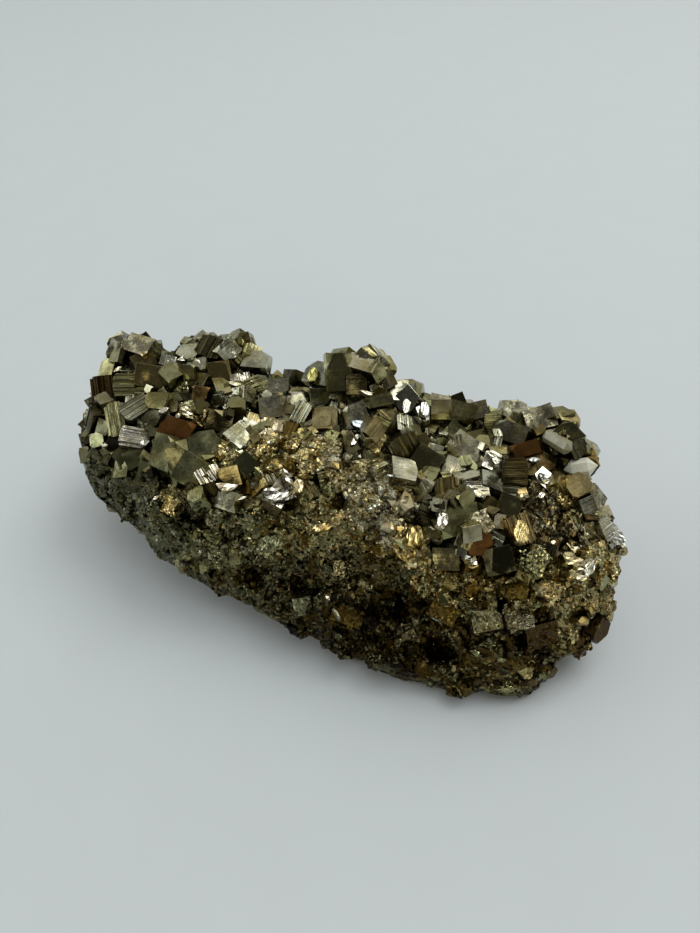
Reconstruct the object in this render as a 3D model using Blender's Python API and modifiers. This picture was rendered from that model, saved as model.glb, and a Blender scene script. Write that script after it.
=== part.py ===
"""A pyrite specimen: cube crystals grown over a lump of granular pyrite, with two quartz prisms.

Lengths are in millimetres until a mesh is made, and MM turns them into metres.
X runs along the specimen, Y from its front to its back, and Z up from the face that it rests on.
The crystals are placed from DISPLAY_EYE, the point in front of the specimen and above it from
which it is looked at. The place of a crystal is a pair of millimetres on DISPLAY_SHEET, a sheet
held square to that line of sight, to the right and up; the crystal sits where the line from the
eye through that place meets the lump.
"""

import itertools
import math
import random
from dataclasses import dataclass

import bmesh
import bpy
import numpy as np
from mathutils import Matrix, Vector, noise
from mathutils.bvhtree import BVHTree

MM = 0.001

# ---------------------------------------------------------------- driving dimensions
DISPLAY_EYE = Vector((36.870, -106.479, 153.651))
DISPLAY_TURN = 18.0
DISPLAY_PITCH = 47.0
DISPLAY_SHEET = 170.0
CORE_VOXEL = 1.0
CORE_TRIANGLES = 1800
GRIT_HEIGHT = 1.6
LEDGE_STEP = 3.2
LEDGE_HEIGHT = 1.5
STANDS_OUT = 1.5
CORNER_LEAST = 0.10
CORNER_MOST = 0.30
CORNER_SHARE = 0.18
HIDDEN_CRYSTALS = 44
HIDDEN_EDGES = (3.6, 7.4)
CHUNKS = 60
CHUNK_EDGES = (2.4, 4.6)
QUARTZ_GAP = 0.3
SEED = 16

# The move that puts the middle of the foot of the specimen at the origin
TO_ORIGIN = Vector((1.7219, 1.9155, 0.0))

# ---------------------------------------------------------------- the lump
# Cross sections along X: each holds eight (y, z) points, from the foot of the front
# round over the front, the front ridge, the top and the back to the underside.
SECTIONS = (
    (-71.0, ((-3, 22), (-6, 27), (-3, 32), (3, 35), (9, 35), (12, 31), (10, 24), (4, 20))),
    (-65.0, ((-12, 14), (-15, 22), (-10, 33), (4, 39), (16, 38), (20, 28), (14, 15), (1, 9))),
    (-52.0, ((-16.5, 8.5), (-20, 19), (-15, 33), (2, 41), (20, 40), (24, 28), (18, 12), (2, 7))),
    (-36.0, ((-24, 7.5), (-25.5, 19), (-18, 34), (0, 40), (22, 40), (26, 28), (20, 10), (0, 5))),
    (-18.0, ((-27, 5.5), (-27, 17), (-14, 35), (0, 38), (18, 38), (25, 27), (22, 9), (0, 2))),
    (2.0, ((-30, 3.5), (-29.5, 16), (-15, 36), (2, 38), (22, 38), (28, 26), (24, 8), (0, -2))),
    (22.0, ((-31.5, 0), (-30.5, 13), (-14, 35), (2, 36), (22, 33), (28, 22), (24, 5), (0, -2))),
    (42.0, ((-30, -1), (-30, 11), (-15, 34), (2, 37), (24, 34), (30, 22), (25, 5), (0, -2))),
    (56.0, ((-25, 1), (-24, 11), (-11, 30), (2, 33), (18, 31), (24, 20), (18, 6), (0, 2))),
    (64.0, ((-13, 8), (-14, 16), (-6, 25), (3, 28), (10, 27), (13, 20), (9, 11), (0, 7))),
    (68.5, ((-5, 14), (-6, 18), (-2, 21), (2, 22), (5, 21), (6, 18), (4, 14), (1, 13))),
)
# Masses that stand out of it: centre, then the three radii
MASSES = (
    ((-65.5, 17, 39), (6.5, 5.5, 5.5)),
    ((-42, 22.5, 40), (12, 5, 5.5)),
    ((-3.5, 23.5, 39.8), (9.8, 6.5, 7.3)),
    ((39, 24, 34.5), (11, 5.5, 5.5)),
    ((18, 23, 34), (9, 5, 5)),
    ((54, -14.5, 11.5), (9.6, 9.8, 9.8)),
    ((53.5, 21, 34), (5, 4.5, 4.5)),
)
SECTION_STEPS = 6
ROUND_STEPS = 4

# The line on the sheet below which the surface is granular instead of grown over with crystals
GRANULAR_BELOW = (
    (-75, 3),
    (-50, -2),
    (-40, -8),
    (-28, -8),
    (-20, -10),
    (-12, -7),
    (-6, -1),
    (0, 3),
    (8, 1),
    (14, -3),
    (19, -12),
    (22, -26),
    (34, -28),
    (46, -28),
    (52, -20),
    (60, -12),
    (75, -12),
)
# On the far side the crystals reach down to this height
FAR_GRANULAR_BELOW = 20.0


@dataclass(frozen=True)
class Pit:
    """A hollow between crystals: its place on the sheet, its half width and its depth."""

    at: tuple
    radius: float
    depth: float


PITS = (
    Pit((-58.5, 16.0), 2.2, 3.0),
    Pit((-44.0, 5.8), 2.4, 3.0),
    Pit((-40.0, -12.0), 3.4, 6.0),
    Pit((-52.5, 4.5), 1.8, 2.5),
    Pit((-23.0, 13.3), 2.2, 3.0),
    Pit((-19.0, 18.3), 1.8, 2.5),
    Pit((-7.5, -4.5), 2.6, 3.5),
    Pit((-2.0, -9.0), 2.4, 3.0),
    Pit((2.5, 16.0), 2.0, 3.0),
    Pit((37.5, -7.5), 2.4, 3.5),
    Pit((52.0, 0.0), 3.0, 3.0),
    Pit((22.5, -20.3), 2.4, 3.0),
    Pit((38.5, -34.5), 3.0, 5.0),
    Pit((44.2, -43.0), 3.0, 5.0),
    Pit((48.3, -37.5), 2.0, 2.5),
    Pit((21.0, -45.5), 3.6, 5.0),
    Pit((24.5, -47.5), 3.0, 5.0),
    Pit((-24.0, -27.5), 2.6, 3.0),
    Pit((-13.0, -30.5), 3.6, 4.0),
    Pit((-9.0, -31.5), 2.6, 3.5),
    Pit((12.0, -36.0), 3.6, 4.0),
    Pit((52.5, -24.0), 2.4, 3.0),
    Pit((58.8, -38.0), 2.0, 2.5),
    Pit((-46.5, -3.0), 1.8, 2.5),
)


@dataclass(frozen=True)
class Crystal:
    """A crystal fused to the lump.

    at: the middle of its near face on the sheet. size: width and height of that face, and how
    deep the crystal reaches. lean: degrees that the face turns from the eye, to the right and up.
    roll: degrees that it turns in its own plane.
    """

    at: tuple
    size: tuple
    lean: tuple = (0.0, 10.0)
    roll: float = 0.0
    out: float = STANDS_OUT


CRYSTALS = (
    # the knob at the left end and the faces below it
    Crystal((-53.5, 31.0), (7.0, 5.0, 6.0), (-10, 30), 8),
    Crystal((-59.0, 28.2), (3.6, 3.6, 4.0), (-25, 20), 30),
    Crystal((-52.0, 26.8), (5.0, 4.2, 5.0), (12, 5), 15),
    Crystal((-62.2, 19.0), (7.0, 7.2, 7.0), (-18, -8), 18),
    Crystal((-56.5, 20.8), (5.8, 5.6, 6.0), (8, 22), -14),
    Crystal((-54.0, 15.3), (7.0, 4.6, 5.0), (4, 30), 28),
    Crystal((-59.4, 12.0), (4.2, 8.0, 5.0), (-12, 14), 34),
    Crystal((-54.6, 7.5), (6.0, 4.4, 5.0), (14, 16), -30),
    Crystal((-62.5, 10.0), (3.4, 3.2, 4.0), (-25, 5), 10),
    Crystal((-64.0, 6.8), (3.6, 3.4, 4.0), (-20, 12), 42),
    Crystal((-66.0, 11.5), (3.6, 5.0, 5.0), (-50, 0), 5),
    Crystal((-44.0, 9.6), (7.2, 4.4, 6.0), (-6, 2), -12),
    Crystal((-49.0, 17.2), (5.2, 4.8, 5.0), (-14, 24), 20),
    Crystal((-50.4, 22.8), (6.8, 5.0, 6.0), (2, -4), -10),
    Crystal((-46.0, 26.4), (4.0, 3.6, 4.0), (16, 26), 45),
    Crystal((-43.0, 20.6), (6.6, 5.4, 6.0), (6, 10), 12),
    Crystal((-47.6, 3.0), (5.0, 8.6, 6.0), (-16, 4), 4),
    Crystal((-43.2, 1.2), (4.6, 8.4, 6.0), (10, -6), 2),
    # the crest between the knob and the second dip
    Crystal((-40.5, 29.6), (6.0, 5.0, 5.0), (-20, 32), 20),
    Crystal((-35.4, 30.4), (5.8, 5.4, 6.0), (-4, 18), -16),
    Crystal((-30.4, 29.6), (5.0, 4.4, 5.0), (26, 24), 10),
    Crystal((-33.0, 24.0), (5.0, 4.6, 5.0), (4, 0), 6),
    Crystal((-38.0, 25.6), (4.2, 3.8, 4.0), (-12, 20), 38),
    Crystal((-30.0, 16.2), (7.2, 6.8, 7.0), (-6, 14), 24),
    Crystal((-33.6, 11.6), (6.6, 4.4, 6.0), (8, -10), -18),
    Crystal((-38.0, 18.2), (4.0, 3.8, 4.0), (-22, 6), 14),
    Crystal((-37.6, 15.0), (3.4, 3.0, 4.0), (14, 20), 40),
    Crystal((-40.4, -1.0), (6.2, 6.4, 6.0), (-8, 8), -20),
    Crystal((-35.6, -1.8), (5.2, 3.6, 5.0), (22, 28), -18),
    Crystal((-30.4, -2.6), (4.2, 4.2, 5.0), (4, -14), 10),
    Crystal((-37.4, -7.6), (7.6, 7.0, 7.0), (16, -12), 26),
    Crystal((-31.4, -8.4), (4.4, 4.0, 5.0), (-20, 10), 8),
    # the middle bump and the faces before it
    Crystal((-24.0, 27.2), (6.0, 4.6, 5.0), (-8, 26), 12),
    Crystal((-18.6, 20.4), (5.6, 3.8, 5.0), (6, 18), -10),
    Crystal((-20.2, 15.0), (5.0, 4.8, 5.0), (-12, 6), 22),
    Crystal((-24.6, 20.4), (4.4, 4.0, 5.0), (-20, -4), 36),
    Crystal((-8.4, 23.8), (6.0, 5.4, 6.0), (-18, 14), 10),
    Crystal((-2.4, 24.0), (6.0, 8.4, 7.0), (8, -4), -6),
    Crystal((2.4, 27.6), (8.6, 4.0, 6.0), (6, 30), 6),
    Crystal((7.0, 24.8), (3.8, 4.2, 5.0), (30, 8), 14),
    Crystal((11.6, 19.4), (6.2, 5.2, 6.0), (10, 22), -20),
    Crystal((1.6, 20.8), (4.4, 4.4, 5.0), (-4, -12), 4),
    Crystal((7.0, 16.4), (7.0, 4.4, 6.0), (4, 12), 8),
    Crystal((1.4, 13.0), (5.2, 5.2, 5.0), (-10, 12), 36),
    Crystal((-6.6, 12.4), (5.2, 5.0, 5.0), (-14, 20), 28),
    Crystal((-7.2, 17.4), (5.0, 4.2, 5.0), (10, 8), -8),
    Crystal((-13.0, 12.6), (3.4, 7.4, 5.0), (-20, 2), -10),
    Crystal((-14.6, 5.8), (4.4, 4.2, 5.0), (8, 16), 20),
    Crystal((5.6, 5.8), (7.6, 7.0, 7.0), (2, 12), 30),
    Crystal((14.2, 4.6), (6.6, 6.0, 7.0), (18, -6), 14),
    Crystal((19.2, 1.4), (6.0, 5.4, 6.0), (-8, 6), -24),
    Crystal((-17.0, -5.6), (8.0, 4.0, 6.0), (16, 30), 16),
    Crystal((-12.0, -1.0), (4.6, 5.0, 5.0), (-10, -8), 40),
    Crystal((-22.4, 4.6), (5.4, 5.0, 6.0), (-16, 10), 6),
    Crystal((-26.6, 0.4), (4.6, 4.2, 5.0), (12, 4), 30),
    # the right half
    Crystal((18.6, 13.6), (3.4, 4.2, 5.0), (4, 34), 10),
    Crystal((23.0, 14.6), (4.4, 4.2, 5.0), (-14, 12), 18),
    Crystal((27.6, 14.0), (6.8, 4.6, 6.0), (10, 24), -6),
    Crystal((32.6, 14.4), (3.8, 4.0, 5.0), (-12, 14), 30),
    Crystal((41.6, 14.6), (5.2, 4.6, 6.0), (-8, 28), 22),
    Crystal((48.0, 12.4), (6.8, 5.0, 6.0), (12, 30), 6),
    Crystal((40.4, 8.8), (7.0, 4.4, 6.0), (2, 24), -8),
    Crystal((29.4, 4.6), (8.0, 5.8, 7.0), (-6, 16), -16),
    Crystal((36.6, 1.2), (4.6, 5.0, 5.0), (20, 26), 24),
    Crystal((44.6, 4.0), (7.6, 4.2, 6.0), (8, 2), 4),
    Crystal((57.8, 4.4), (3.8, 3.8, 5.0), (26, -6), 12),
    Crystal((41.6, -3.2), (5.2, 8.0, 7.0), (-10, -10), 8),
    Crystal((32.0, -6.0), (5.4, 4.0, 5.0), (8, 26), -20),
    Crystal((27.6, -12.4), (7.2, 8.0, 7.0), (6, 8), 14),
    Crystal((34.8, -14.0), (6.4, 5.4, 6.0), (18, 14), 38),
    Crystal((39.4, -11.6), (4.4, 7.0, 6.0), (-16, 4), -6),
    Crystal((32.4, -19.4), (7.0, 6.0, 7.0), (2, -6), 4),
    Crystal((43.2, -15.8), (5.0, 6.0, 6.0), (14, 18), -10),
    Crystal((24.6, -6.0), (4.8, 5.4, 6.0), (-14, 8), 22),
    Crystal((26.4, 8.8), (4.4, 4.0, 5.0), (12, 10), 34),
    Crystal((49.4, -3.0), (3.8, 4.4, 5.0), (10, 30), 12),
    Crystal((55.4, -8.2), (7.6, 7.4, 8.0), (16, 8), 20, 0.9),
    Crystal((63.6, -41.2), (5.0, 5.0, 6.0), (34, -14), 22),
    Crystal((-61.4, 25.0), (4.6, 4.4, 5.0), (-30, 10), 20),
    Crystal((47.2, -23.2), (8.2, 7.2, 8.0), (-6, 14), 30),
    Crystal((58.0, -25.2), (6.6, 5.2, 6.0), (24, 24), 10),
    Crystal((63.6, -27.6), (4.4, 6.8, 6.0), (40, 0), 6),
    Crystal((65.6, -16.4), (4.4, 6.4, 6.0), (36, 20), -24),
    Crystal((62.4, -8.4), (5.0, 5.0, 6.0), (34, 6), 16),
    Crystal((24.2, -23.4), (5.0, 4.2, 5.0), (-10, 4), 12),
    # crystals that stand out of the granular front
    Crystal((15.4, -19.2), (6.4, 7.0, 6.0), (12, 18), 24),
    Crystal((-34.8, -17.4), (7.2, 4.6, 6.0), (-4, 18), -14),
    Crystal((-29.6, -22.4), (4.4, 4.4, 5.0), (-10, 6), 20),
    Crystal((-21.0, -20.0), (8.4, 8.0, 6.0), (-6, 8), 12, 0.8),
    Crystal((-12.2, -35.4), (3.6, 3.6, 5.0), (-16, -6), 24),
    Crystal((-0.6, -37.4), (6.4, 4.0, 5.0), (-10, 4), -6),
    Crystal((-2.4, -25.4), (5.0, 4.0, 5.0), (8, 14), 16),
    Crystal((42.4, -31.8), (7.2, 5.4, 7.0), (-8, 0), -12),
    Crystal((42.6, -37.6), (5.4, 5.2, 6.0), (-6, 10), 36),
    Crystal((34.6, -38.8), (5.8, 4.0, 6.0), (4, 8), 4),
    Crystal((34.2, -33.8), (4.2, 4.0, 5.0), (-14, 12), 20),
    Crystal((30.8, -31.2), (4.2, 5.4, 6.0), (-20, -8), 8),
    Crystal((48.6, -43.0), (6.2, 5.4, 7.0), (8, -12), 6),
    Crystal((23.6, -36.8), (5.4, 3.6, 5.0), (2, 8), -30),
    Crystal((52.2, -31.0), (6.4, 5.8, 6.0), (10, 10), 26),
    Crystal((62.4, -33.8), (5.2, 5.6, 6.0), (30, 4), 14),
    Crystal((66.0, -36.0), (4.0, 4.0, 6.0), (44, -10), 10),
    Crystal((58.4, -45.4), (5.6, 5.0, 8.0), (14, -20), 42),
    Crystal((14.6, -43.0), (4.0, 4.2, 5.0), (-4, -10), 30),
    Crystal((44.8, -52.6), (5.0, 5.0, 6.0), (0, -20), 14),
    Crystal((-45.0, -9.6), (6.4, 5.6, 5.0), (6, 10), 22, 0.9),
    Crystal((-37.6, -26.0), (4.6, 3.6, 6.0), (-24, -14), 10),
)


@dataclass(frozen=True)
class QuartzPrism:
    """A six-sided prism that lies in the lump's skin, with a point at each end.

    tip and foot: their places on the sheet. below: how far the foot lies beneath the lump's skin.
    above: how far the tip stands over it. width: across the flats. point: length of each point.
    """

    name: str
    tip: tuple
    foot: tuple
    above: float
    below: float
    width: float
    point: float


QUARTZ = (
    QuartzPrism("quartz_crystal_long", (62.6, 0.3), (53.8, -0.9), 3.6, 0.2, 4.0, 2.2),
    QuartzPrism("quartz_crystal_short", (56.0, 4.0), (48.8, 8.4), 3.4, 1.2, 3.2, 1.2),
)
QUARTZ_SIDES = 6


# ---------------------------------------------------------------- the display sheet
def display_axes():
    """The sheet's right and up directions, and the direction that looks at it."""
    turn = math.radians(DISPLAY_TURN)
    pitch = math.radians(DISPLAY_PITCH)
    right = Vector((math.cos(turn), math.sin(turn), 0.0))
    ahead = Vector((-math.sin(turn) * math.cos(pitch), math.cos(turn) * math.cos(pitch), -math.sin(pitch)))
    return right, right.cross(ahead), ahead


RIGHT, UP, AHEAD = display_axes()


def sight(at):
    """The direction from the eye through a place on the sheet."""
    return (AHEAD * DISPLAY_SHEET + RIGHT * at[0] + UP * at[1]).normalized()


def sheet_place(point):
    """The place on the sheet of a point of the specimen."""
    reach = Vector(point) - DISPLAY_EYE
    scale = DISPLAY_SHEET / reach.dot(AHEAD)
    return reach.dot(RIGHT) * scale, reach.dot(UP) * scale


def seat(lump, at):
    """Where the line of sight through a place meets the lump, or passes nearest to it."""
    along = sight(at)
    hit = lump.ray_cast(DISPLAY_EYE, along)[0]
    if hit is not None:
        return hit
    passed = [DISPLAY_EYE + along * (120.0 + step) for step in range(150)]
    return min(passed, key=lambda point: lump.find_nearest(point)[3])


def is_granular(point, normal):
    """Whether the surface here is granular instead of grown over with crystals."""
    if normal.dot(AHEAD) > 0.1:
        return point.z < FAR_GRANULAR_BELOW
    across, up = sheet_place(point)
    us, vs = zip(*GRANULAR_BELOW)
    return up < np.interp(across, us, vs)


# ---------------------------------------------------------------- the lump's mesh
def rows_between(grid, steps, closed):
    """Rows of points on smooth curves through the rows of a grid, steps rows to each of its own."""
    count = len(grid)
    rows = []
    for first in range(count if closed else count - 1):
        near = [first + offset for offset in (-1, 0, 1, 2)]
        near = [i % count if closed else min(max(i, 0), count - 1) for i in near]
        before, start, end, after = (grid[i] for i in near)
        for t in np.arange(steps) / steps:
            slope = (end - before) * t
            bend = (2 * before - 5 * start + 4 * end - after) * t**2
            twist = (3 * start - before - 3 * end + after) * t**3
            rows.append((2 * start + slope + bend + twist) / 2)
    if not closed:
        rows.append(grid[-1])
    return np.array(rows)


def lofted_sections(mesh):
    """Adds the closed skin through the cross sections."""
    grid = np.array([[(x, y, z) for y, z in ring] for x, ring in SECTIONS], float)
    grid = rows_between(grid, SECTION_STEPS, closed=False)
    grid = rows_between(grid.transpose(1, 0, 2), ROUND_STEPS, closed=True).transpose(1, 0, 2)
    rings = [[mesh.verts.new(point) for point in ring] for ring in grid]
    for ring, following in zip(rings, rings[1:]):
        for i in range(len(ring)):
            before = ring[i - 1]
            mesh.faces.new((before, ring[i], following[i], following[i - 1]))
    mesh.faces.new(rings[0])
    mesh.faces.new(reversed(rings[-1]))


def as_mesh(source, name):
    """The bmesh as mesh data in metres."""
    data = bpy.data.meshes.new(name)
    source.to_mesh(data)
    source.free()
    data.transform(Matrix.Scale(MM, 4))
    return data


def evaluated(obj):
    """A bmesh in millimetres of the object with its modifiers applied."""
    graph = bpy.context.evaluated_depsgraph_get()
    graph.update()
    result = bmesh.new()
    result.from_object(obj, graph)
    bmesh.ops.scale(result, vec=(1 / MM, 1 / MM, 1 / MM), verts=result.verts)
    return result


def one_skin(obj):
    """Leaves one even skin around everything in the object."""
    skin = obj.modifiers.new("one_skin", "REMESH")
    skin.mode = "VOXEL"
    skin.voxel_size = CORE_VOXEL * MM


def core_skin(scrap):
    """The lump before it is roughened: the lofted body with its masses, as one skin."""
    mesh = bmesh.new()
    lofted_sections(mesh)
    for centre, radii in MASSES:
        ball = bmesh.ops.create_icosphere(mesh, subdivisions=3, radius=1.0)["verts"]
        bmesh.ops.transform(mesh, matrix=Matrix.LocRotScale(Vector(centre), None, Vector(radii)), verts=ball)
    bmesh.ops.recalc_face_normals(mesh, faces=mesh.faces)
    obj = bpy.data.objects.new("core_skin", as_mesh(mesh, "core_skin"))
    scrap.objects.link(obj)
    one_skin(obj)
    result = evaluated(obj)
    bpy.data.objects.remove(obj)
    return result


def roughness(point, normal):
    """How far the skin stands out here: grit and ledges where it is granular, less elsewhere."""
    grit = noise.fractal(point / 5.5, 0.7, 2.2, 3)
    lumps = noise.noise(point / 13.0)
    ledge = (point.z + 0.35 * point.x + 2.5 * lumps) / LEDGE_STEP
    ledge = LEDGE_HEIGHT * (ledge - math.floor(ledge) - 0.5)
    if is_granular(point, normal):
        return GRIT_HEIGHT * grit + ledge + 1.2 * lumps
    return 0.5 * GRIT_HEIGHT * grit + 0.4 * ledge


def roughened(mesh, lump):
    """Moves the skin out and in by its roughness, and hollows the pits out of it."""
    mesh.normal_update()
    hollows = [(seat(lump, pit.at), pit.radius, pit.depth) for pit in PITS]
    moves = []
    for vert in mesh.verts:
        move = vert.normal * roughness(vert.co, vert.normal)
        for centre, radius, depth in hollows:
            away = (vert.co - centre).length / radius
            if away < 2.0:
                move += AHEAD * depth * math.exp(-(away**2) * 1.6)
        moves.append(move)
    for vert, move in zip(mesh.verts, moves):
        vert.co += move


def make_core(scrap):
    """The rough lump as an object, and the tree of its skin that crystals are seated on."""
    mesh = core_skin(scrap)
    roughened(mesh, BVHTree.FromBMesh(mesh))
    tree = BVHTree.FromBMesh(mesh)
    obj = bpy.data.objects.new("core", as_mesh(mesh, "core"))
    scrap.objects.link(obj)
    one_skin(obj)
    triangles = 2 * len(evaluated(obj).faces)
    fewer = obj.modifiers.new("fewer", "DECIMATE")
    fewer.ratio = CORE_TRIANGLES / triangles
    return obj, tree


# ---------------------------------------------------------------- crystals
def grown(mesh, faces, place):
    """Adds the crystal that flat growth faces bound, each a direction and its distance out."""
    normals = np.array([Vector(normal).normalized() for normal, _ in faces])
    reach = np.array([distance for _, distance in faces])
    triples = np.array(list(itertools.combinations(range(len(faces)), 3)))
    meet = triples[abs(np.linalg.det(normals[triples])) > 1e-4]
    corners = np.linalg.solve(normals[meet], reach[meet][..., None])[..., 0]
    corners = corners[(corners @ normals.T <= reach + 1e-6).all(axis=1)]
    corners = np.unique(np.round(corners, 5), axis=0)
    verts = [mesh.verts.new(place @ Vector(corner)) for corner in corners]
    for normal, distance in zip(normals, reach):
        on_face = np.flatnonzero(abs(corners @ normal - distance) < 1e-4)
        if len(on_face) < 3:
            continue
        side = Vector(normal).orthogonal().normalized()
        other = Vector(normal).cross(side)
        middle = Vector(corners[on_face].mean(axis=0))
        spokes = {i: Vector(corners[i]) - middle for i in on_face}
        ordered = sorted(on_face, key=lambda i: math.atan2(spokes[i].dot(other), spokes[i].dot(side)))
        mesh.faces.new([verts[i] for i in ordered])


def cube_faces(size, dice):
    """The growth faces of a cube crystal, with small faces of different sizes over its corners."""
    half = Vector(size) / 2
    faces = []
    for axis in range(3):
        for sign in (-1, 1):
            normal = [0, 0, 0]
            normal[axis] = sign
            faces.append((tuple(normal), half[axis]))
    for signs in itertools.product((-1, 1), repeat=3):
        corner = sum(half) / math.sqrt(3)
        cut = dice.uniform(CORNER_LEAST, CORNER_MOST)
        if dice.random() < CORNER_SHARE:
            faces.append((signs, corner * (1 - cut)))
    return faces


def chunk_faces(size, dice):
    """The faces of a broken grain: flat, with no order to them."""
    faces = []
    for step in range(10):
        height = 1 - 2 * (step + 0.5) / 10
        around = step * 2.4 + dice.uniform(-0.3, 0.3)
        ring = math.sqrt(1 - height**2)
        normal = (ring * math.cos(around), ring * math.sin(around), height + dice.uniform(-0.15, 0.15))
        faces.append((normal, size / 2 * dice.uniform(0.75, 1.1)))
    return faces


def turned(normal, roll):
    """The rotation that points a crystal's own Z along normal, rolled about it."""
    side = Vector((0, 0, 1)).cross(normal)
    if side.length < 0.05:
        side = RIGHT.copy()
    side.normalize()
    upward = normal.cross(side)
    square = Matrix((side, upward, normal)).transposed()
    return square.to_4x4() @ Matrix.Rotation(math.radians(roll), 4, "Z")


def crystal_object(name, faces, place):
    mesh = bmesh.new()
    grown(mesh, faces, place)
    return bpy.data.objects.new(name, as_mesh(mesh, name))


def leaning(lean):
    """The direction that leans from the eye by so many degrees to the right and up."""
    return (-AHEAD + RIGHT * math.tan(math.radians(lean[0])) + UP * math.tan(math.radians(lean[1]))).normalized()


def named_crystals(tree):
    """The crystals of the table, seated on the lump."""
    made = []
    for number, crystal in enumerate(CRYSTALS):
        dice = random.Random(SEED + number)
        normal = leaning(crystal.lean)
        face = seat(tree, crystal.at) - sight(crystal.at) * crystal.out
        place = Matrix.Translation(face - normal * crystal.size[2] / 2) @ turned(normal, crystal.roll)
        made.append(crystal_object(f"crystal_{number}", cube_faces(crystal.size, dice), place))
    return made


def spots(tree_mesh, count, wanted, apart, dice):
    """Places spread over the part of the skin that is wanted, apart from each other."""
    faces = [face for face in tree_mesh.faces if wanted(face.calc_center_median(), face.normal)]
    found = []
    for _ in range(count * 60):
        face = dice.choice(faces)
        point = face.calc_center_median()
        if all((point - other).length > apart for other, _ in found):
            found.append((point, face.normal.copy()))
        if len(found) == count:
            break
    return found


def out_of_sight(point, normal):
    """Whether the skin here faces well away from the eye and isn't the underside."""
    return normal.dot(AHEAD) > 0.25 and point.z > 5.0 and not is_granular(point, normal)


def hidden_crystals(skin):
    """Crystals over the far side, of which the display side shows nothing."""
    dice = random.Random(SEED)
    made = []
    for point, normal in spots(skin, HIDDEN_CRYSTALS, out_of_sight, 4.2, dice):
        edge = dice.uniform(*HIDDEN_EDGES)
        size = (edge, edge * dice.uniform(0.7, 1.1), edge * dice.uniform(0.8, 1.2))
        swing = Vector((dice.uniform(-1, 1), dice.uniform(-1, 1), dice.uniform(-1, 1)))
        facing = (normal + 0.6 * swing).normalized()
        centre = point + normal * 1.2 - facing * size[2] / 2
        place = Matrix.Translation(centre) @ turned(facing, dice.uniform(0, 90))
        made.append(crystal_object(f"far_crystal_{len(made)}", cube_faces(size, dice), place))
    return made


def chunk_ground(point, normal):
    """Whether a chunk may sit here: granular skin that is clear of the foot."""
    return point.z > 3.0 and is_granular(point, normal)


def chunks(skin):
    """Broken grains that stand out of the granular skin."""
    dice = random.Random(SEED + 1)
    made = []
    for point, normal in spots(skin, CHUNKS, chunk_ground, 4.0, dice):
        edge = dice.uniform(*CHUNK_EDGES)
        place = Matrix.Translation(point + normal * 0.1) @ turned(normal, dice.uniform(0, 360))
        made.append(crystal_object(f"chunk_{len(made)}", chunk_faces(edge, dice), place))
    return made


# ---------------------------------------------------------------- quartz
def prism_faces(prism, length, gap):
    """The growth faces of a six-sided prism with a point at each end."""
    flat = prism.width / 2 + gap
    faces = []
    slope = math.atan2(prism.width / 2, prism.point)
    for side in range(QUARTZ_SIDES):
        around = 2 * math.pi * side / QUARTZ_SIDES
        outward = (math.cos(around), math.sin(around), 0)
        faces.append((outward, flat))
        for end in (-1, 1):
            leaned = Vector(outward) * math.cos(slope) + Vector((0, 0, end)) * math.sin(slope)
            faces.append((leaned, length / 2 * math.sin(slope) + gap))
    return faces


def prism_place(prism, tree):
    """The prism's length, and the place of its middle."""
    tip = seat(tree, prism.tip) - sight(prism.tip) * prism.above
    foot = seat(tree, prism.foot) + sight(prism.foot) * prism.below
    axis = (tip - foot).normalized()
    return (tip - foot).length, Matrix.Translation((tip + foot) / 2) @ turned(axis, 15)


# ---------------------------------------------------------------- the object
def metal_and_glass():
    """The two materials."""
    pyrite = bpy.data.materials.new("pyrite")
    pyrite.use_nodes = True
    shade = pyrite.node_tree.nodes["Principled BSDF"].inputs
    shade["Base Color"].default_value = (0.42, 0.37, 0.24, 1)
    shade["Metallic"].default_value = 0.9
    shade["Roughness"].default_value = 0.3
    quartz = bpy.data.materials.new("quartz")
    quartz.use_nodes = True
    shade = quartz.node_tree.nodes["Principled BSDF"].inputs
    shade["Base Color"].default_value = (0.90, 0.93, 0.88, 1)
    shade["Roughness"].default_value = 0.08
    shade["IOR"].default_value = 1.544
    shade["Transmission Weight"].default_value = 1.0
    return pyrite, quartz


def without_pockets(mesh):
    """Fills the pockets that fused crystals close off, by leaving only the outer skin."""
    left = set(mesh.faces)
    skins = []
    while left:
        reached = [left.pop()]
        skin = set(reached)
        while reached:
            for edge in reached.pop().edges:
                for face in edge.link_faces:
                    if face in left:
                        left.discard(face)
                        skin.add(face)
                        reached.append(face)
        skins.append(skin)
    outer = max(skins, key=len)
    inner = [face for face in mesh.faces if face not in outer]
    bmesh.ops.delete(mesh, geom=inner, context="FACES")


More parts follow.
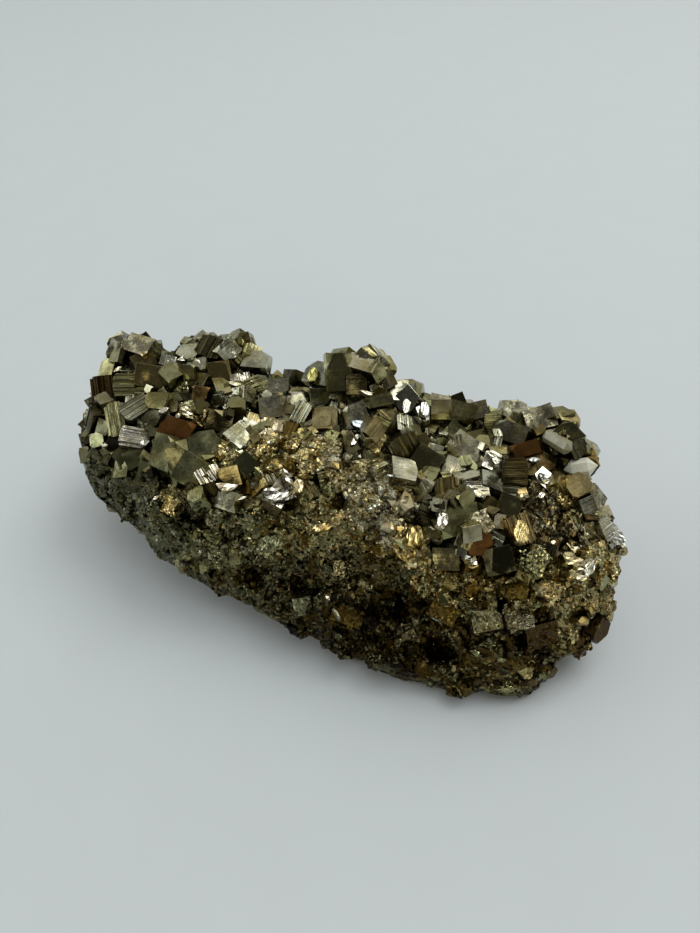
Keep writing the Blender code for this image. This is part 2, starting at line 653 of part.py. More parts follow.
def main():
    for obj in list(bpy.data.objects):
        bpy.data.objects.remove(obj)
    specimen = bpy.data.collections.new("pyrite_specimen")
    fused = bpy.data.collections.new("fused_crystals")
    cutters = bpy.data.collections.new("cutters")
    scrap = bpy.data.collections.new("lump")
    for collection in (specimen, fused, cutters, scrap):
        bpy.context.scene.collection.children.link(collection)
    pyrite, quartz = metal_and_glass()

    core, tree = make_core(scrap)
    skin = evaluated(core)
    skin.normal_update()
    for obj in named_crystals(tree) + hidden_crystals(skin) + chunks(skin):
        fused.objects.link(obj)
        obj.hide_render = True
        obj.display_type = "WIRE"

    for prism in QUARTZ:
        length, place = prism_place(prism, tree)
        crystal = crystal_object(prism.name, prism_faces(prism, length, 0.0), place)
        crystal.data.materials.append(quartz)
        specimen.objects.link(crystal)
        socket = crystal_object(prism.name + "_socket", prism_faces(prism, length, QUARTZ_GAP), place)
        cutters.objects.link(socket)

    floor = bmesh.new()
    bmesh.ops.create_cube(floor, size=1.0)
    bmesh.ops.scale(floor, vec=(200, 120, 30), verts=floor.verts)
    bmesh.ops.translate(floor, vec=(0, 0, -15), verts=floor.verts)
    cutters.objects.link(bpy.data.objects.new("foot_cut", as_mesh(floor, "foot_cut")))
    for obj in cutters.objects:
        obj.hide_render = True
        obj.display_type = "WIRE"

    join = core.modifiers.new("fuse_crystals", "BOOLEAN")
    join.operation = "UNION"
    join.operand_type = "COLLECTION"
    join.collection = fused
    join.solver = "MANIFOLD"
    cut = core.modifiers.new("foot_and_sockets", "BOOLEAN")
    cut.operation = "DIFFERENCE"
    cut.operand_type = "COLLECTION"
    cut.collection = cutters
    cut.solver = "MANIFOLD"
    whole = evaluated(core)
    without_pockets(whole)
    cluster = bpy.data.objects.new("pyrite_cluster", as_mesh(whole, "pyrite_cluster"))
    cluster.data.materials.clear()
    cluster.data.materials.append(pyrite)
    specimen.objects.link(cluster)
    bpy.data.objects.remove(core)

    for obj in specimen.objects:
        obj.data.transform(Matrix.Translation(TO_ORIGIN * MM))


main()
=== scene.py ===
"""The looks of a pyrite specimen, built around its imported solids.

Lengths are in millimetres until a mesh is made, and MM turns them into metres. X runs along the
specimen, Y from its displayed front to its back, and Z up from the face that it rests on. The
crystals are placed on a display sheet, as in the solids: a sheet held square to the line of sight
from the display eye, with places in millimetres to the right and up.
"""

from __future__ import annotations

import itertools
import logging
import math
import random
from collections.abc import Callable, Sequence
from dataclasses import dataclass, field, replace
from enum import Enum

import bmesh
import bpy
import numpy as np
from mathutils import Matrix, Vector, noise
from mathutils.bvhtree import BVHTree

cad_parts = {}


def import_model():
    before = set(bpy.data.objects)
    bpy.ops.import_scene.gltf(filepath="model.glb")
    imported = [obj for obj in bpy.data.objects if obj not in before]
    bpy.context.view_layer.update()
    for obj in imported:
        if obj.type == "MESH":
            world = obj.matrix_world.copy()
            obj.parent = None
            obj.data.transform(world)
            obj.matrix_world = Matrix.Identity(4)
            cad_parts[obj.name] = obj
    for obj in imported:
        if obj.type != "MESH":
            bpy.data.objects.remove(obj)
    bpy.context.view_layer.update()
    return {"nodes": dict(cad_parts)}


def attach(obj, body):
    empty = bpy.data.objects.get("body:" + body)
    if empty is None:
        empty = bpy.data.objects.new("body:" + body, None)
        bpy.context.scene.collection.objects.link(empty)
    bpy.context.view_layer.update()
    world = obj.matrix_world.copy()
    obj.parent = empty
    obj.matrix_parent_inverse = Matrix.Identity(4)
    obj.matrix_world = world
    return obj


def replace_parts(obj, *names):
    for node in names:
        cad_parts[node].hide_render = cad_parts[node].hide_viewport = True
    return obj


log = logging.getLogger("pyrite_specimen")

MM = 0.001
SEED = 16
BODY = "root"
CLUSTER_NODE = "pyrite_cluster"

# The move that puts the middle of the foot of the specimen at the origin
TO_ORIGIN = Vector((1.7219, 1.9155, 0.0))
# The box that holds the specimen, and how far every piece keeps inside it
LOW, HIGH = np.array((-72.48, -34.0, 0.0)), np.array((72.48, 34.0, 49.77))
EDGE_GAP = 0.03
# How much wider the crystals' near faces are than the solids', so that they grow into each other
SPREAD = 1.16
# How far a rough crystal stands out more than a plain one
ROUGH_OUT = 0.9
# How light rough and plain crystals are against their finishes
ROUGH_SHADE, PLAIN_SHADE = 1.1, 0.9
# How strongly growth lines show on stepped faces, on smooth ones that have them and on the rest
LINED, FINE_LINES, UNLINED = 0.95, 0.8, 0.1
# How far the brightness of the crystals in the tables strays, and that of what is strewn
NAMED_SPREAD, STREWN_SPREAD = 0.05, 0.2
# How many places are strewn over the skin for small crystals and grains to grow at
SKIN_PLACES = 60000
# The share of the fresh grains that are turned to glint, the lean that glints and how far it strays
GLINTS = 0.38
GLINT_LEAN = (19.0, 30.0)
GLINT_STRAY = 9.0

Colour = tuple[float, float, float]
Place = tuple[float, float]
Size = tuple[float, float, float]
Face = tuple[Size, float]
# A place of the skin, the way it faces there and the room over it
Spot = tuple[Vector, Vector, float]
Socket = bpy.types.NodeSocket
# What an input of a node takes: an output joined to it, or a constant
Feed = Socket | float | tuple[float, ...]
Feeds = dict[str | int, Feed]


# ---------------------------------------------------------------- finishes
class Lines(Enum):
    """Which way the growth lines of a crystal's near face run."""

    NONE = "none"
    ACROSS = "across"
    UPWARD = "upward"


@dataclass(frozen=True)
class Sheen:
    """How a surface of the specimen answers light.

    Args:
        colour: The metal's colour.
        roughness: How far it spreads what it reflects.
        metallic: The share of it that is metal.
        lines: The strength of its growth lines: their relief and their painted shade.
    """

    colour: Colour
    roughness: float
    metallic: float = 1.0
    lines: float = 0.35

    def varied(self, dice: random.Random, spread: float) -> Sheen:
        """The sheen of one grain or crystal of this finish.

        Args:
            dice: The source of chance.
            spread: How far its brightness strays.

        Returns:
            A sheen a little lighter or darker and a little warmer or cooler.
        """
        light = 1.0 + dice.uniform(-spread, spread)
        warm = 1.0 + dice.uniform(-0.06, 0.06)
        red, green, blue = self.colour
        tint = (red * light * warm, green * light, blue * light / warm)
        rough = self.roughness * (1.0 + dice.uniform(-0.2, 0.2))
        lines = self.lines * (0.2 + 1.1 * dice.random() ** 2)
        return Sheen(tuple(min(part, 0.95) for part in tint), rough, self.metallic, lines)

    def shaded(self, shade: float) -> Sheen:
        """The sheen in the same hue, so many times as light."""
        shade = min(shade, 0.97 / max(self.colour))
        return replace(self, colour=tuple(part * shade for part in self.colour))


class Finish(Enum):
    """The finishes that the crystals and grains of the specimen take."""

    STEEL = Sheen((0.58, 0.575, 0.42), 0.17)
    OLIVE = Sheen((0.37, 0.36, 0.18), 0.18)
    TAN = Sheen((0.47, 0.405, 0.20), 0.22)
    DARK = Sheen((0.14, 0.128, 0.07), 0.16)
    UMBER = Sheen((0.085, 0.056, 0.020), 0.26)
    RUST = Sheen((0.150, 0.066, 0.010), 0.34, 0.7)
    MIRROR = Sheen((0.90, 0.90, 0.80), 0.12, lines=0.9)
    GOLD = Sheen((0.74, 0.60, 0.27), 0.20, lines=0.8)
    SPARK = Sheen((0.92, 0.86, 0.60), 0.14)
    BRASS = Sheen((0.50, 0.47, 0.17), 0.16)
    ICE = Sheen((0.80, 0.90, 0.94), 0.14, lines=0.8)
    PALE = Sheen((0.60, 0.55, 0.36), 0.28, 0.92)
    GREEN = Sheen((0.27, 0.27, 0.145), 0.26)
    BROWN = Sheen((0.18, 0.122, 0.030), 0.32)
    SOOT = Sheen((0.03, 0.025, 0.012), 0.45)

    @property
    def sheen(self) -> Sheen:
        """The finish's sheen."""
        return self.value


STEEL, OLIVE, TAN, DARK, UMBER, RUST, MIRROR, GOLD, SPARK, BRASS, ICE, PALE, GREEN, BROWN, SOOT = Finish
ACROSS, UPWARD = Lines.ACROSS, Lines.UPWARD

# The finishes found in a stretch of the surface, each with its share
Mix = dict[Finish, float]
GREEN_SKIN: Mix = {GREEN: 5, OLIVE: 3, SOOT: 1, PALE: 0.5, SPARK: 0.25}
GOLD_SKIN: Mix = {SPARK: 2.4, GOLD: 2.2, TAN: 3, BROWN: 2.2, OLIVE: 2}
PALE_SKIN: Mix = {PALE: 4.5, STEEL: 2, TAN: 2, BROWN: 1, SPARK: 0.8}
OLIVE_SKIN: Mix = {OLIVE: 4, BROWN: 2.6, TAN: 2, GOLD: 0.5, SOOT: 0.8}
GLOW_SKIN: Mix = {GOLD: 2.5, TAN: 3, BROWN: 2, OLIVE: 1.5}
BROWN_SKIN: Mix = {BROWN: 4, UMBER: 3, OLIVE: 2, SOOT: 1.6, TAN: 0.6}
RIGHT_SKIN: Mix = {TAN: 3, BROWN: 2.6, OLIVE: 2, GOLD: 1.7, UMBER: 1.2}
GLITTER_SKIN: Mix = {UMBER: 3, DARK: 2, SPARK: 1.6, TAN: 1.6, GOLD: 1.2}
DRUSE_SKIN: Mix = {STEEL: 5, OLIVE: 3.4, TAN: 0.9, DARK: 2.2, MIRROR: 0.35}
WARM_DRUSE: Mix = {OLIVE: 3.4, TAN: 3, STEEL: 2, UMBER: 1.6, GOLD: 0.6}
FAR_SKIN: Mix = {OLIVE: 3, BROWN: 3, GREEN: 2, TAN: 1.4, UMBER: 1.4}
# The mixes of the stretches that grains cover
GRAINY_MIXES = (GOLD_SKIN, PALE_SKIN, GLITTER_SKIN, GLOW_SKIN)


def drawn(mix: Mix, chance: float) -> Finish:
    """The finish that a number from 0 to 1 draws from a mix.

    Args:
        mix: The mix.
        chance: The number.

    Returns:
        The finish.
    """
    total = sum(mix.values())
    for finish, share in mix.items():
        chance -= share / total
        if chance <= 0:
            break
    return finish


@dataclass(frozen=True)
class Zone:
    """A stretch of the surface with its own mix of finishes.

    Args:
        at: Its middle on the display sheet.
        reach: Its half width and half height.
        mix: Its mix.
        shade: How light it is drawn against the finishes' own colours; in the low front zones this is
            painted shade.
    """

    at: Place
    reach: Place
    mix: Mix
    shade: float = 1.0


ZONES = (
    Zone((-60, 0), (14, 10), GREEN_SKIN, 0.42),
    Zone((-48, -13), (15, 9), GREEN_SKIN, 0.58),
    Zone((-45, -8), (4.5, 3.5), GOLD_SKIN, 0.8),
    Zone((-30, -18), (12, 9), GREEN_SKIN, 1),
    Zone((-52, 18), (16, 14), DRUSE_SKIN, 0.74),
    Zone((-41.5, 13.5), (5, 4), GOLD_SKIN, 1.5),
    Zone((-30, 22), (14, 9), DRUSE_SKIN, 0.86),
    Zone((-17, 3), (15, 6.2), GOLD_SKIN, 1.15),
    Zone((-31, 3.5), (5, 4), GOLD_SKIN, 1.3),
    Zone((-29, 9), (7, 3), WARM_DRUSE),
    Zone((0, 18), (17, 11), DRUSE_SKIN, 0.88),
    Zone((-14, -15), (14, 9), OLIVE_SKIN, 0.92),
    Zone((-7, -16), (6, 2.6), GLOW_SKIN, 1.1),
    Zone((-3, 3), (6, 4), PALE_SKIN, 1),
    Zone((6, -9), (8.5, 6.5), PALE_SKIN, 0.9),
    Zone((8, -19), (3.4, 2.4), PALE_SKIN, 1.1),
    Zone((15.5, -19), (4, 4.4), GLOW_SKIN, 1.6),
    # painted shade: the low front is darkened for the shadowed floor and dim room that it reflects
    Zone((-15, -28), (22, 7), OLIVE_SKIN, 0.4),
    Zone((1, -30), (3.4, 2.6), GLOW_SKIN, 0.8),
    # painted shade: darkened for the shadowed floor and dim room that it reflects
    Zone((6, -40), (14, 9), BROWN_SKIN, 0.42),
    Zone((22, 8), (16, 10), DRUSE_SKIN, 1.2),
    Zone((31, -10), (12, 10), DRUSE_SKIN, 0.76),
    Zone((47, 10), (11, 8), WARM_DRUSE, 0.8),
    Zone((49, -12), (8, 9), GLITTER_SKIN, 0.68),
    Zone((56, -8), (6, 5), GOLD_SKIN, 1.1),
    Zone((64, -10), (6, 8), WARM_DRUSE),
    Zone((58, -26), (6, 5), GOLD_SKIN, 1.6),
    Zone((53, -31), (5, 4.4), GOLD_SKIN, 0.9),
    Zone((36, -32), (16, 8), RIGHT_SKIN, 1),
    Zone((58, -38), (10, 8), RIGHT_SKIN, 1.1),
    Zone((30, -44), (14, 7), BROWN_SKIN, 0.75),
    Zone((50, -48), (12, 7), BROWN_SKIN, 0.85),
)


# ---------------------------------------------------------------- the display sheet
@dataclass(frozen=True)
class DisplaySheet:
    """The sheet that crystals are placed on, held square to the line of sight.

    Args:
        eye: Where the specimen is looked at from.
        turn: Degrees that the sight is turned to the left of straight back.
        pitch: Degrees that it looks down.
        distance: How far the sheet is from the eye.
    """

    eye: Vector = Vector((36.870, -106.479, 153.651))
    turn: float = 18.0
    pitch: float = 47.0
    distance: float = 170.0
    right: Vector = field(init=False)
    up: Vector = field(init=False)
    ahead: Vector = field(init=False)

    def __post_init__(self) -> None:
        """Works out the sheet's own directions."""
        turn, pitch = math.radians(self.turn), math.radians(self.pitch)
        level = math.cos(pitch)
        right = Vector((math.cos(turn), math.sin(turn), 0.0))
        ahead = Vector((-math.sin(turn) * level, math.cos(turn) * level, -math.sin(pitch)))
        for name, direction in (("right", right), ("ahead", ahead), ("up", right.cross(ahead))):
            object.__setattr__(self, name, direction)

    def sight(self, at: Place) -> Vector:
        """The direction from the eye through a place on the sheet."""
        return (self.ahead * self.distance + self.right * at[0] + self.up * at[1]).normalized()

    def place(self, point: Vector) -> Place:
        """The place on the sheet of a point of the specimen.

        Args:
            point: The point.

        Returns:
            The place, in millimetres to the right and up.
        """
        reach = Vector(point) - self.eye
        scale = self.distance / reach.dot(self.ahead)
        return reach.dot(self.right) * scale, reach.dot(self.up) * scale

    def seat(self, lump: BVHTree, at: Place) -> Vector:
        """Where the line of sight through a place meets the lump.

        Args:
            lump: The skin to meet.
            at: The place on the sheet.

        Returns:
            The point met, or the point of the line that passes nearest to the skin.
        """
        along = self.sight(at)
        hit = lump.ray_cast(self.eye, along)[0]
        if hit is not None:
            return hit
        passed = [self.eye + along * (120.0 + step) for step in range(150)]
        return min(passed, key=lambda point: lump.find_nearest(point)[3])

    def leaning(self, lean: Place) -> Vector:
        """The direction that leans from the eye by so many degrees to the right and up."""
        across, upward = (math.tan(math.radians(angle)) for angle in lean)
        return (-self.ahead + self.right * across + self.up * upward).normalized()


SHEET = DisplaySheet()


# ---------------------------------------------------------------- the lump
@dataclass(frozen=True)
class Pit:
    """A hollow between crystals: its place on the sheet, its half width and its depth."""

    at: Place
    radius: float
    depth: float


@dataclass(frozen=True)
class LumpForm:
    """The form of the lump that the crystals grow on.

    Args:
        sections: Cross sections along X, each with eight (y, z) points around it.
        masses: Masses that stand out of it, each a centre and three radii.
        granular_below: The line on the sheet below which the surface is granular.
        far_granular_below: The height below which the far side is granular.
        pits: The hollows between crystals.
    """

    sections: tuple
    masses: tuple
    granular_below: tuple[Place, ...]
    far_granular_below: float
    pits: tuple[Pit, ...]

    def is_granular(self, point: Vector, is_far: bool) -> bool:
        """Whether the surface is granular here instead of grown over with crystals.

        Args:
            point: A point of the surface.
            is_far: Whether it is on the far side.

        Returns:
            Whether it is.
        """
        if is_far:
            return point.z < self.far_granular_below
        across, up = SHEET.place(point)
        return up < np.interp(across, *zip(*self.granular_below))


FORM = LumpForm(
    sections=(
        (-71, ((-3, 22), (-6, 27), (-3, 32), (3, 35), (9, 35), (12, 31), (10, 24), (4, 20))),
        (-65, ((-12, 14), (-15, 22), (-10, 33), (4, 39), (16, 38), (20, 28), (14, 15), (1, 9))),
        (-52, ((-16.5, 8.5), (-20, 19), (-15, 33), (2, 41), (20, 40), (24, 28), (18, 12), (2, 7))),
        (-36, ((-24, 7.5), (-25.5, 19), (-18, 34), (0, 40), (22, 40), (26, 28), (20, 10), (0, 5))),
        (-18, ((-27, 5.5), (-27, 17), (-14, 35), (0, 38), (18, 38), (25, 27), (22, 9), (0, 2))),
        (2, ((-30, 3.5), (-29.5, 16), (-15, 36), (2, 38), (22, 38), (28, 26), (24, 8), (0, -2))),
        (22, ((-31.5, 0), (-30.5, 13), (-14, 35), (2, 36), (22, 33), (28, 22), (24, 5), (0, -2))),
        (42, ((-30, -1), (-30, 11), (-15, 34), (2, 37), (24, 34), (30, 22), (25, 5), (0, -2))),
        (56, ((-25, 1), (-24, 11), (-11, 30), (2, 33), (18, 31), (24, 20), (18, 6), (0, 2))),
        (64, ((-13, 8), (-14, 16), (-6, 25), (3, 28), (10, 27), (13, 20), (9, 11), (0, 7))),
        (68.5, ((-5, 14), (-6, 18), (-2, 21), (2, 22), (5, 21), (6, 18), (4, 14), (1, 13))),
    ),
    masses=(
        ((-65.5, 17, 39), (6.5, 5.5, 5.5)),
        ((-42, 22.5, 40), (12, 5, 5.5)),
        ((-3.5, 23.5, 39.8), (9.8, 6.5, 7.3)),
        ((39, 24, 34.5), (11, 5.5, 5.5)),
        ((18, 23, 34), (9, 5, 5)),
        ((54, -14.5, 11.5), (9.6, 9.8, 9.8)),
        ((53.5, 21, 34), (5, 4.5, 4.5)),
    ),
    granular_below=(
        (-75, 3), (-50, -2), (-40, -8), (-28, -8), (-20, -10), (-12, -7), (-6, -1), (0, 3), (8, 1),
        (14, -3), (19, -12), (22, -26), (34, -28), (46, -28), (52, -20), (60, -12), (75, -12),
    ),
    far_granular_below=20.0,
    pits=(
        Pit((-58.5, 16), 2.2, 3), Pit((-44, 5.8), 2.4, 3), Pit((-40, -12), 3.4, 6),
        Pit((-52.5, 4.5), 1.8, 2.5), Pit((-23, 13.3), 2.2, 3), Pit((-19, 18.3), 1.8, 2.5),
        Pit((-7.5, -4.5), 2.6, 3.5), Pit((-2, -9), 2.4, 3), Pit((2.5, 16), 2, 3),
        Pit((37.5, -7.5), 2.4, 3.5), Pit((52, 0), 3, 3), Pit((22.5, -20.3), 2.4, 3),
        Pit((38.5, -34.5), 3, 5), Pit((44.2, -43), 3, 5), Pit((48.3, -37.5), 2, 2.5),
        Pit((21, -45.5), 3.6, 5), Pit((24.5, -47.5), 3, 5), Pit((-24, -27.5), 2.6, 3),
        Pit((-13, -30.5), 3.6, 4), Pit((-9, -31.5), 2.6, 3.5), Pit((12, -36), 3.6, 4),
        Pit((52.5, -24), 2.4, 3), Pit((58.8, -38), 2, 2.5), Pit((-46.5, -3), 1.8, 2.5),
    ),
)


def placed(name: str, data: bpy.types.ID) -> bpy.types.Object:
    """An object of some data, in the scene.

    Args:
        name: Its name.
        data: Its data.

    Returns:
        The object.
    """
    obj = bpy.data.objects.new(name, data)
    bpy.context.scene.collection.objects.link(obj)
    return obj


def one_skin(data: bpy.types.Mesh, voxel: float) -> bmesh.types.BMesh:
    """One even skin around everything in a mesh.

    Args:
        data: The mesh, in metres.
        voxel: The cell of the skin, in millimetres.

    Returns:
        The skin, in millimetres.
    """
    obj = placed("skin", data)
    remesh = obj.modifiers.new("one_skin", "REMESH")
    remesh.mode = "VOXEL"
    remesh.voxel_size = voxel * MM
    graph = bpy.context.evaluated_depsgraph_get()
    graph.update()
    skin = bmesh.new()
    skin.from_object(obj, graph)
    bmesh.ops.scale(skin, vec=(1 / MM, 1 / MM, 1 / MM), verts=skin.verts)
    bpy.data.objects.remove(obj)
    return skin


@dataclass
class Lump:
    """The lump under the crystals, as in the solids: what the crystals are seated on.

    Args:
        form: Its form.
        voxel: The cell of its one skin.
        grit: The height of its grit.
        ledge_step: The distance from ledge to ledge.
        ledge_height: How far a ledge stands out.
    """

    form: LumpForm = FORM
    voxel: float = 1.0
    grit: float = 1.6
    ledge_step: float = 3.2
    ledge_height: float = 1.5
    tree: BVHTree = field(init=False)

    def build(self) -> Lump:
        """Works out the tree that crystals are seated on.

        Returns:
            The lump itself.
        """
        mesh = self._core()
        self._roughen(mesh, BVHTree.FromBMesh(mesh))
        self.tree = BVHTree.FromBMesh(mesh)
        mesh.free()
        return self

    def _core(self) -> bmesh.types.BMesh:
        """The lump before it is roughened: the lofted body with its masses, as one skin.

        Returns:
            The skin, in millimetres.
        """
        mesh = bmesh.new()
        self._loft(mesh)
        for centre, radii in self.form.masses:
            ball = bmesh.ops.create_icosphere(mesh, subdivisions=3, radius=1.0)["verts"]
            place = Matrix.LocRotScale(Vector(centre), None, Vector(radii))
            bmesh.ops.transform(mesh, matrix=place, verts=ball)
        bmesh.ops.recalc_face_normals(mesh, faces=mesh.faces)
        data = bpy.data.meshes.new("core")
        mesh.to_mesh(data)
        mesh.free()
        data.transform(Matrix.Scale(MM, 4))
        return one_skin(data, self.voxel)

    def _loft(self, mesh: bmesh.types.BMesh) -> None:
        """Adds the closed skin through the cross sections.

        Args:
            mesh: The mesh that it is added to.
        """
        grid = np.array([[(x, y, z) for y, z in ring] for x, ring in self.form.sections], float)
        grid = self._rows_between(grid, 6, closed=False)
        grid = self._rows_between(grid.transpose(1, 0, 2), 4, closed=True).transpose(1, 0, 2)
        rings = [[mesh.verts.new(point) for point in ring] for ring in grid]
        for ring, following in zip(rings, rings[1:]):
            for i in range(len(ring)):
                mesh.faces.new((ring[i - 1], ring[i], following[i], following[i - 1]))
        mesh.faces.new(rings[0])
        mesh.faces.new(reversed(rings[-1]))

    @staticmethod
    def _rows_between(grid: np.ndarray, steps: int, closed: bool) -> np.ndarray:
        """Rows of points on smooth curves through the rows of a grid.

        Args:
            grid: Rows of points.
            steps: Rows to make for each row of the grid.
            closed: Whether the last row joins the first.

        Returns:
            The finer grid.
        """
        count = len(grid)
        rows = []
        for first in range(count if closed else count - 1):
            near = [first + offset for offset in (-1, 0, 1, 2)]
            near = [i % count if closed else min(max(i, 0), count - 1) for i in near]
            before, start, end, after = (grid[i] for i in near)
            for t in np.arange(steps) / steps:
                slope = (end - before) * t
                bend = (2 * before - 5 * start + 4 * end - after) * t**2
                twist = (3 * start - before - 3 * end + after) * t**3
                rows.append((2 * start + slope + bend + twist) / 2)
        if not closed:
            rows.append(grid[-1])
        return np.array(rows)

    def _roughness(self, point: Vector, normal: Vector) -> float:
        """How far the skin stands out here: grit and ledges where granular, less elsewhere.

        Args:
            point: A point of the skin.
            normal: The way the skin faces there.

        Returns:
            The distance.
        """
        grit = noise.fractal(point / 5.5, 0.7, 2.2, 3)
        lumps = noise.noise(point / 13.0)
        ledge = (point.z + 0.35 * point.x + 2.5 * lumps) / self.ledge_step
        ledge = self.ledge_height * (ledge - math.floor(ledge) - 0.5)
        if self.form.is_granular(point, normal.dot(SHEET.ahead) > 0.1):
            return self.grit * grit + ledge + 1.2 * lumps
        return 0.5 * self.grit * grit + 0.4 * ledge

    def _roughen(self, mesh: bmesh.types.BMesh, smooth: BVHTree) -> None:
        """Moves the skin out and in by its roughness, and hollows the pits out of it.

        Args:
            mesh: The skin.
            smooth: A tree of it, which the pits are seated on.
        """
        mesh.normal_update()
        hollows = [(SHEET.seat(smooth, pit.at), pit.radius, pit.depth) for pit in self.form.pits]
        moves = []
        for vert in mesh.verts:
            move = vert.normal * self._roughness(vert.co, vert.normal)
            for centre, radius, depth in hollows:
                away = (vert.co - centre).length / radius
                if away < 2.0:
                    move += SHEET.ahead * depth * math.exp(-(away**2) * 1.6)
            moves.append(move)
        for vert, move in zip(mesh.verts, moves):
            vert.co += move


# ---------------------------------------------------------------- faceted shapes
@dataclass(frozen=True)
class Facets:
    """A closed faceted shape around its own origin.

    Args:
        corners: Its corners, a row each.
        loops: The corners of every face, one face after another.
        sizes: How many corners each face has.
        growth: For each corner of each face, its place on the face along and across the lines.
    """

    corners: np.ndarray
    loops: np.ndarray
    sizes: np.ndarray
    growth: np.ndarray

    @classmethod
    def of(cls, corners: np.ndarray, faces: list[list[int]]) -> Facets:
        """The shape with these corners and faces.

        Args:
            corners: Its corners, a row each.
            faces: The corners of each face, in order around it.

        Returns:
            The shape, with the places of its faces' growth lines.
        """
        growth = []
        for face in faces:
            ring = corners[face]
            normal = np.cross(ring, np.roll(ring, -1, axis=0)).sum(axis=0)
            axis = int(np.argmax(abs(normal)))
            growth.append(ring[:, [(axis + 1) % 3, (axis + 2) % 3]])
        sizes = np.array([len(face) for face in faces])
        return cls(corners, np.concatenate(faces), sizes, np.concatenate(growth))

    @classmethod
    def grown(cls, faces: list[Face]) -> Facets:
        """The crystal that flat growth faces bound.

        Args:
            faces: The faces, each a direction and its distance out.

        Returns:
            The shape inside all of them.
        """
        normals = np.array([Vector(normal).normalized() for normal, _ in faces])
        reach = np.array([distance for _, distance in faces])
        triples = np.array(list(itertools.combinations(range(len(faces)), 3)))
        meet = triples[abs(np.linalg.det(normals[triples])) > 1e-4]
        corners = np.linalg.solve(normals[meet], reach[meet][..., None])[..., 0]
        corners = corners[(corners @ normals.T <= reach + 1e-6).all(axis=1)]
        corners = np.unique(np.round(corners, 5), axis=0)
        rings = []
        for normal, distance in zip(normals, reach):
            on_face = np.flatnonzero(abs(corners @ normal - distance) < 1e-4)
            if len(on_face) < 3:
                continue
            side = Vector(normal).orthogonal().normalized()
            other = Vector(normal).cross(side)
            spokes = corners[on_face] - corners[on_face].mean(axis=0)
            around = np.arctan2(spokes @ np.array(other), spokes @ np.array(side))
            rings.append(list(on_face[np.argsort(around)]))
        return cls.of(corners, rings)


# The share of a cube's corners that are cut, and how near an axis an oblique face may point
CORNER_SHARE = 0.18
OBLIQUE = 0.88


def cube_faces(size: Size, dice: random.Random) -> list[Face]:
    """The growth faces of a cube crystal, with small faces over some of its corners.

    Args:
        size: The cube's sides.
        dice: The source of chance.

    Returns:
        The faces.
    """
    half = Vector(size) / 2
    faces = []
    for axis, sign in itertools.product(range(3), (-1, 1)):
        normal = [0, 0, 0]
        normal[axis] = sign
        faces.append((tuple(normal), half[axis]))
    for signs in itertools.product((-1, 1), repeat=3):
        cut = dice.uniform(0.10, 0.30)
        if dice.random() < CORNER_SHARE:
            faces.append((signs, sum(half) / math.sqrt(3) * (1 - cut)))
    return faces


def worn_edges(size: Size, width: float) -> list[Face]:
    """The narrow faces along the edges of a cube crystal.

    Args:
        size: The cube's sides.
        width: How wide the faces are.

    Returns:
        The faces.
    """
    half = Vector(size) / 2
    faces = []
    for axis, *signs in itertools.product(range(3), (-1, 1), (-1, 1)):
        normal = [0, 0, 0]
        normal[axis - 1], normal[axis - 2] = signs
        reach = (half[axis - 1] + half[axis - 2]) / math.sqrt(2)
        faces.append((tuple(normal), reach - width / 2))
    return faces


def oblique_faces(size: Size, dice: random.Random, count: int) -> list[Face]:
    """The faces where breaks and neighbours cut a cube crystal.

    Args:
        size: The cube's sides.
        dice: The source of chance.
        count: How many there are.

    Returns:
        The faces.
    """
    half = Vector(size) / 2
    faces = []
    while len(faces) < count:
        normal = Vector([dice.gauss(0, 1) for _ in range(3)]).normalized()
        if max(abs(part) for part in normal) < OBLIQUE:
            reach = sum(abs(part) * side for part, side in zip(normal, half))
            faces.append((tuple(normal), reach * dice.uniform(0.7, 0.88)))
    return faces


def chunk(dice: random.Random, count: int = 10) -> Facets:
    """A broken grain of one millimetre, with no order to its faces.

    Args:
        dice: The source of chance.
        count: How many faces it has besides its flat one.

    Returns:
        The shape.
    """
    faces = [((0.0, 0.0, 1.0), 0.4)]
    for step in range(count):
        height = 1 - 2 * (step + 0.5) / count
        around = step * 2.4 + dice.uniform(-0.3, 0.3)
        ring = math.sqrt(1 - height**2)
        upward = height + dice.uniform(-0.15, 0.15)
        normal = (ring * math.cos(around), ring * math.sin(around), upward)
        faces.append((normal, 0.5 * dice.uniform(0.75, 1.1)))
    return Facets.grown(faces)


def stacked_plates(size: Size, lines: Lines, dice: random.Random) -> Facets:
    """A cube crystal with stepped growth lines: thin plates side by side, uneven in height.

    Args:
        size: The crystal's sides.
        lines: Which way the lines of its near face run.
        dice: The source of chance.

    Returns:
        The shape.
    """
    run, rest = (1, 0) if lines is ACROSS else (0, 1)
    half = [side / 2 for side in size]
    at, lap = -half[run], 0.01
    corners: list[list[float]] = []
    faces: list[list[int]] = []
    while at < half[run] - 0.05:
        end = min(at + dice.uniform(0.3, 0.95), half[run])
        drop = dice.uniform(0.0, 0.34)
        slope = dice.uniform(-0.11, 0.11)
        inset = dice.uniform(0.0, 0.2) + 0.22 * half[rest] * abs((at + end) / 2 / half[run]) ** 4
        first = len(corners)
        for (side, tilt), reach in itertools.product(((at - lap, slope), (end + lap, -slope)), (-1, 1)):
            for height in (-half[2], half[2] - drop + tilt):
                corner = [0.0, 0.0, height]
                corner[run], corner[rest] = side, reach * (half[rest] - inset)
                corners.append(corner)
        box = ((0, 1, 3, 2), (4, 6, 7, 5), (0, 4, 5, 1), (2, 3, 7, 6), (0, 2, 6, 4), (1, 5, 7, 3))
        faces += [[first + i for i in (ring[::-1] if lines is ACROSS else ring)] for ring in box]
        at = end
    shape = Facets.of(np.array(corners), faces)
    return replace(shape, growth=shape.growth[:, ::-1]) if lines is UPWARD else shape


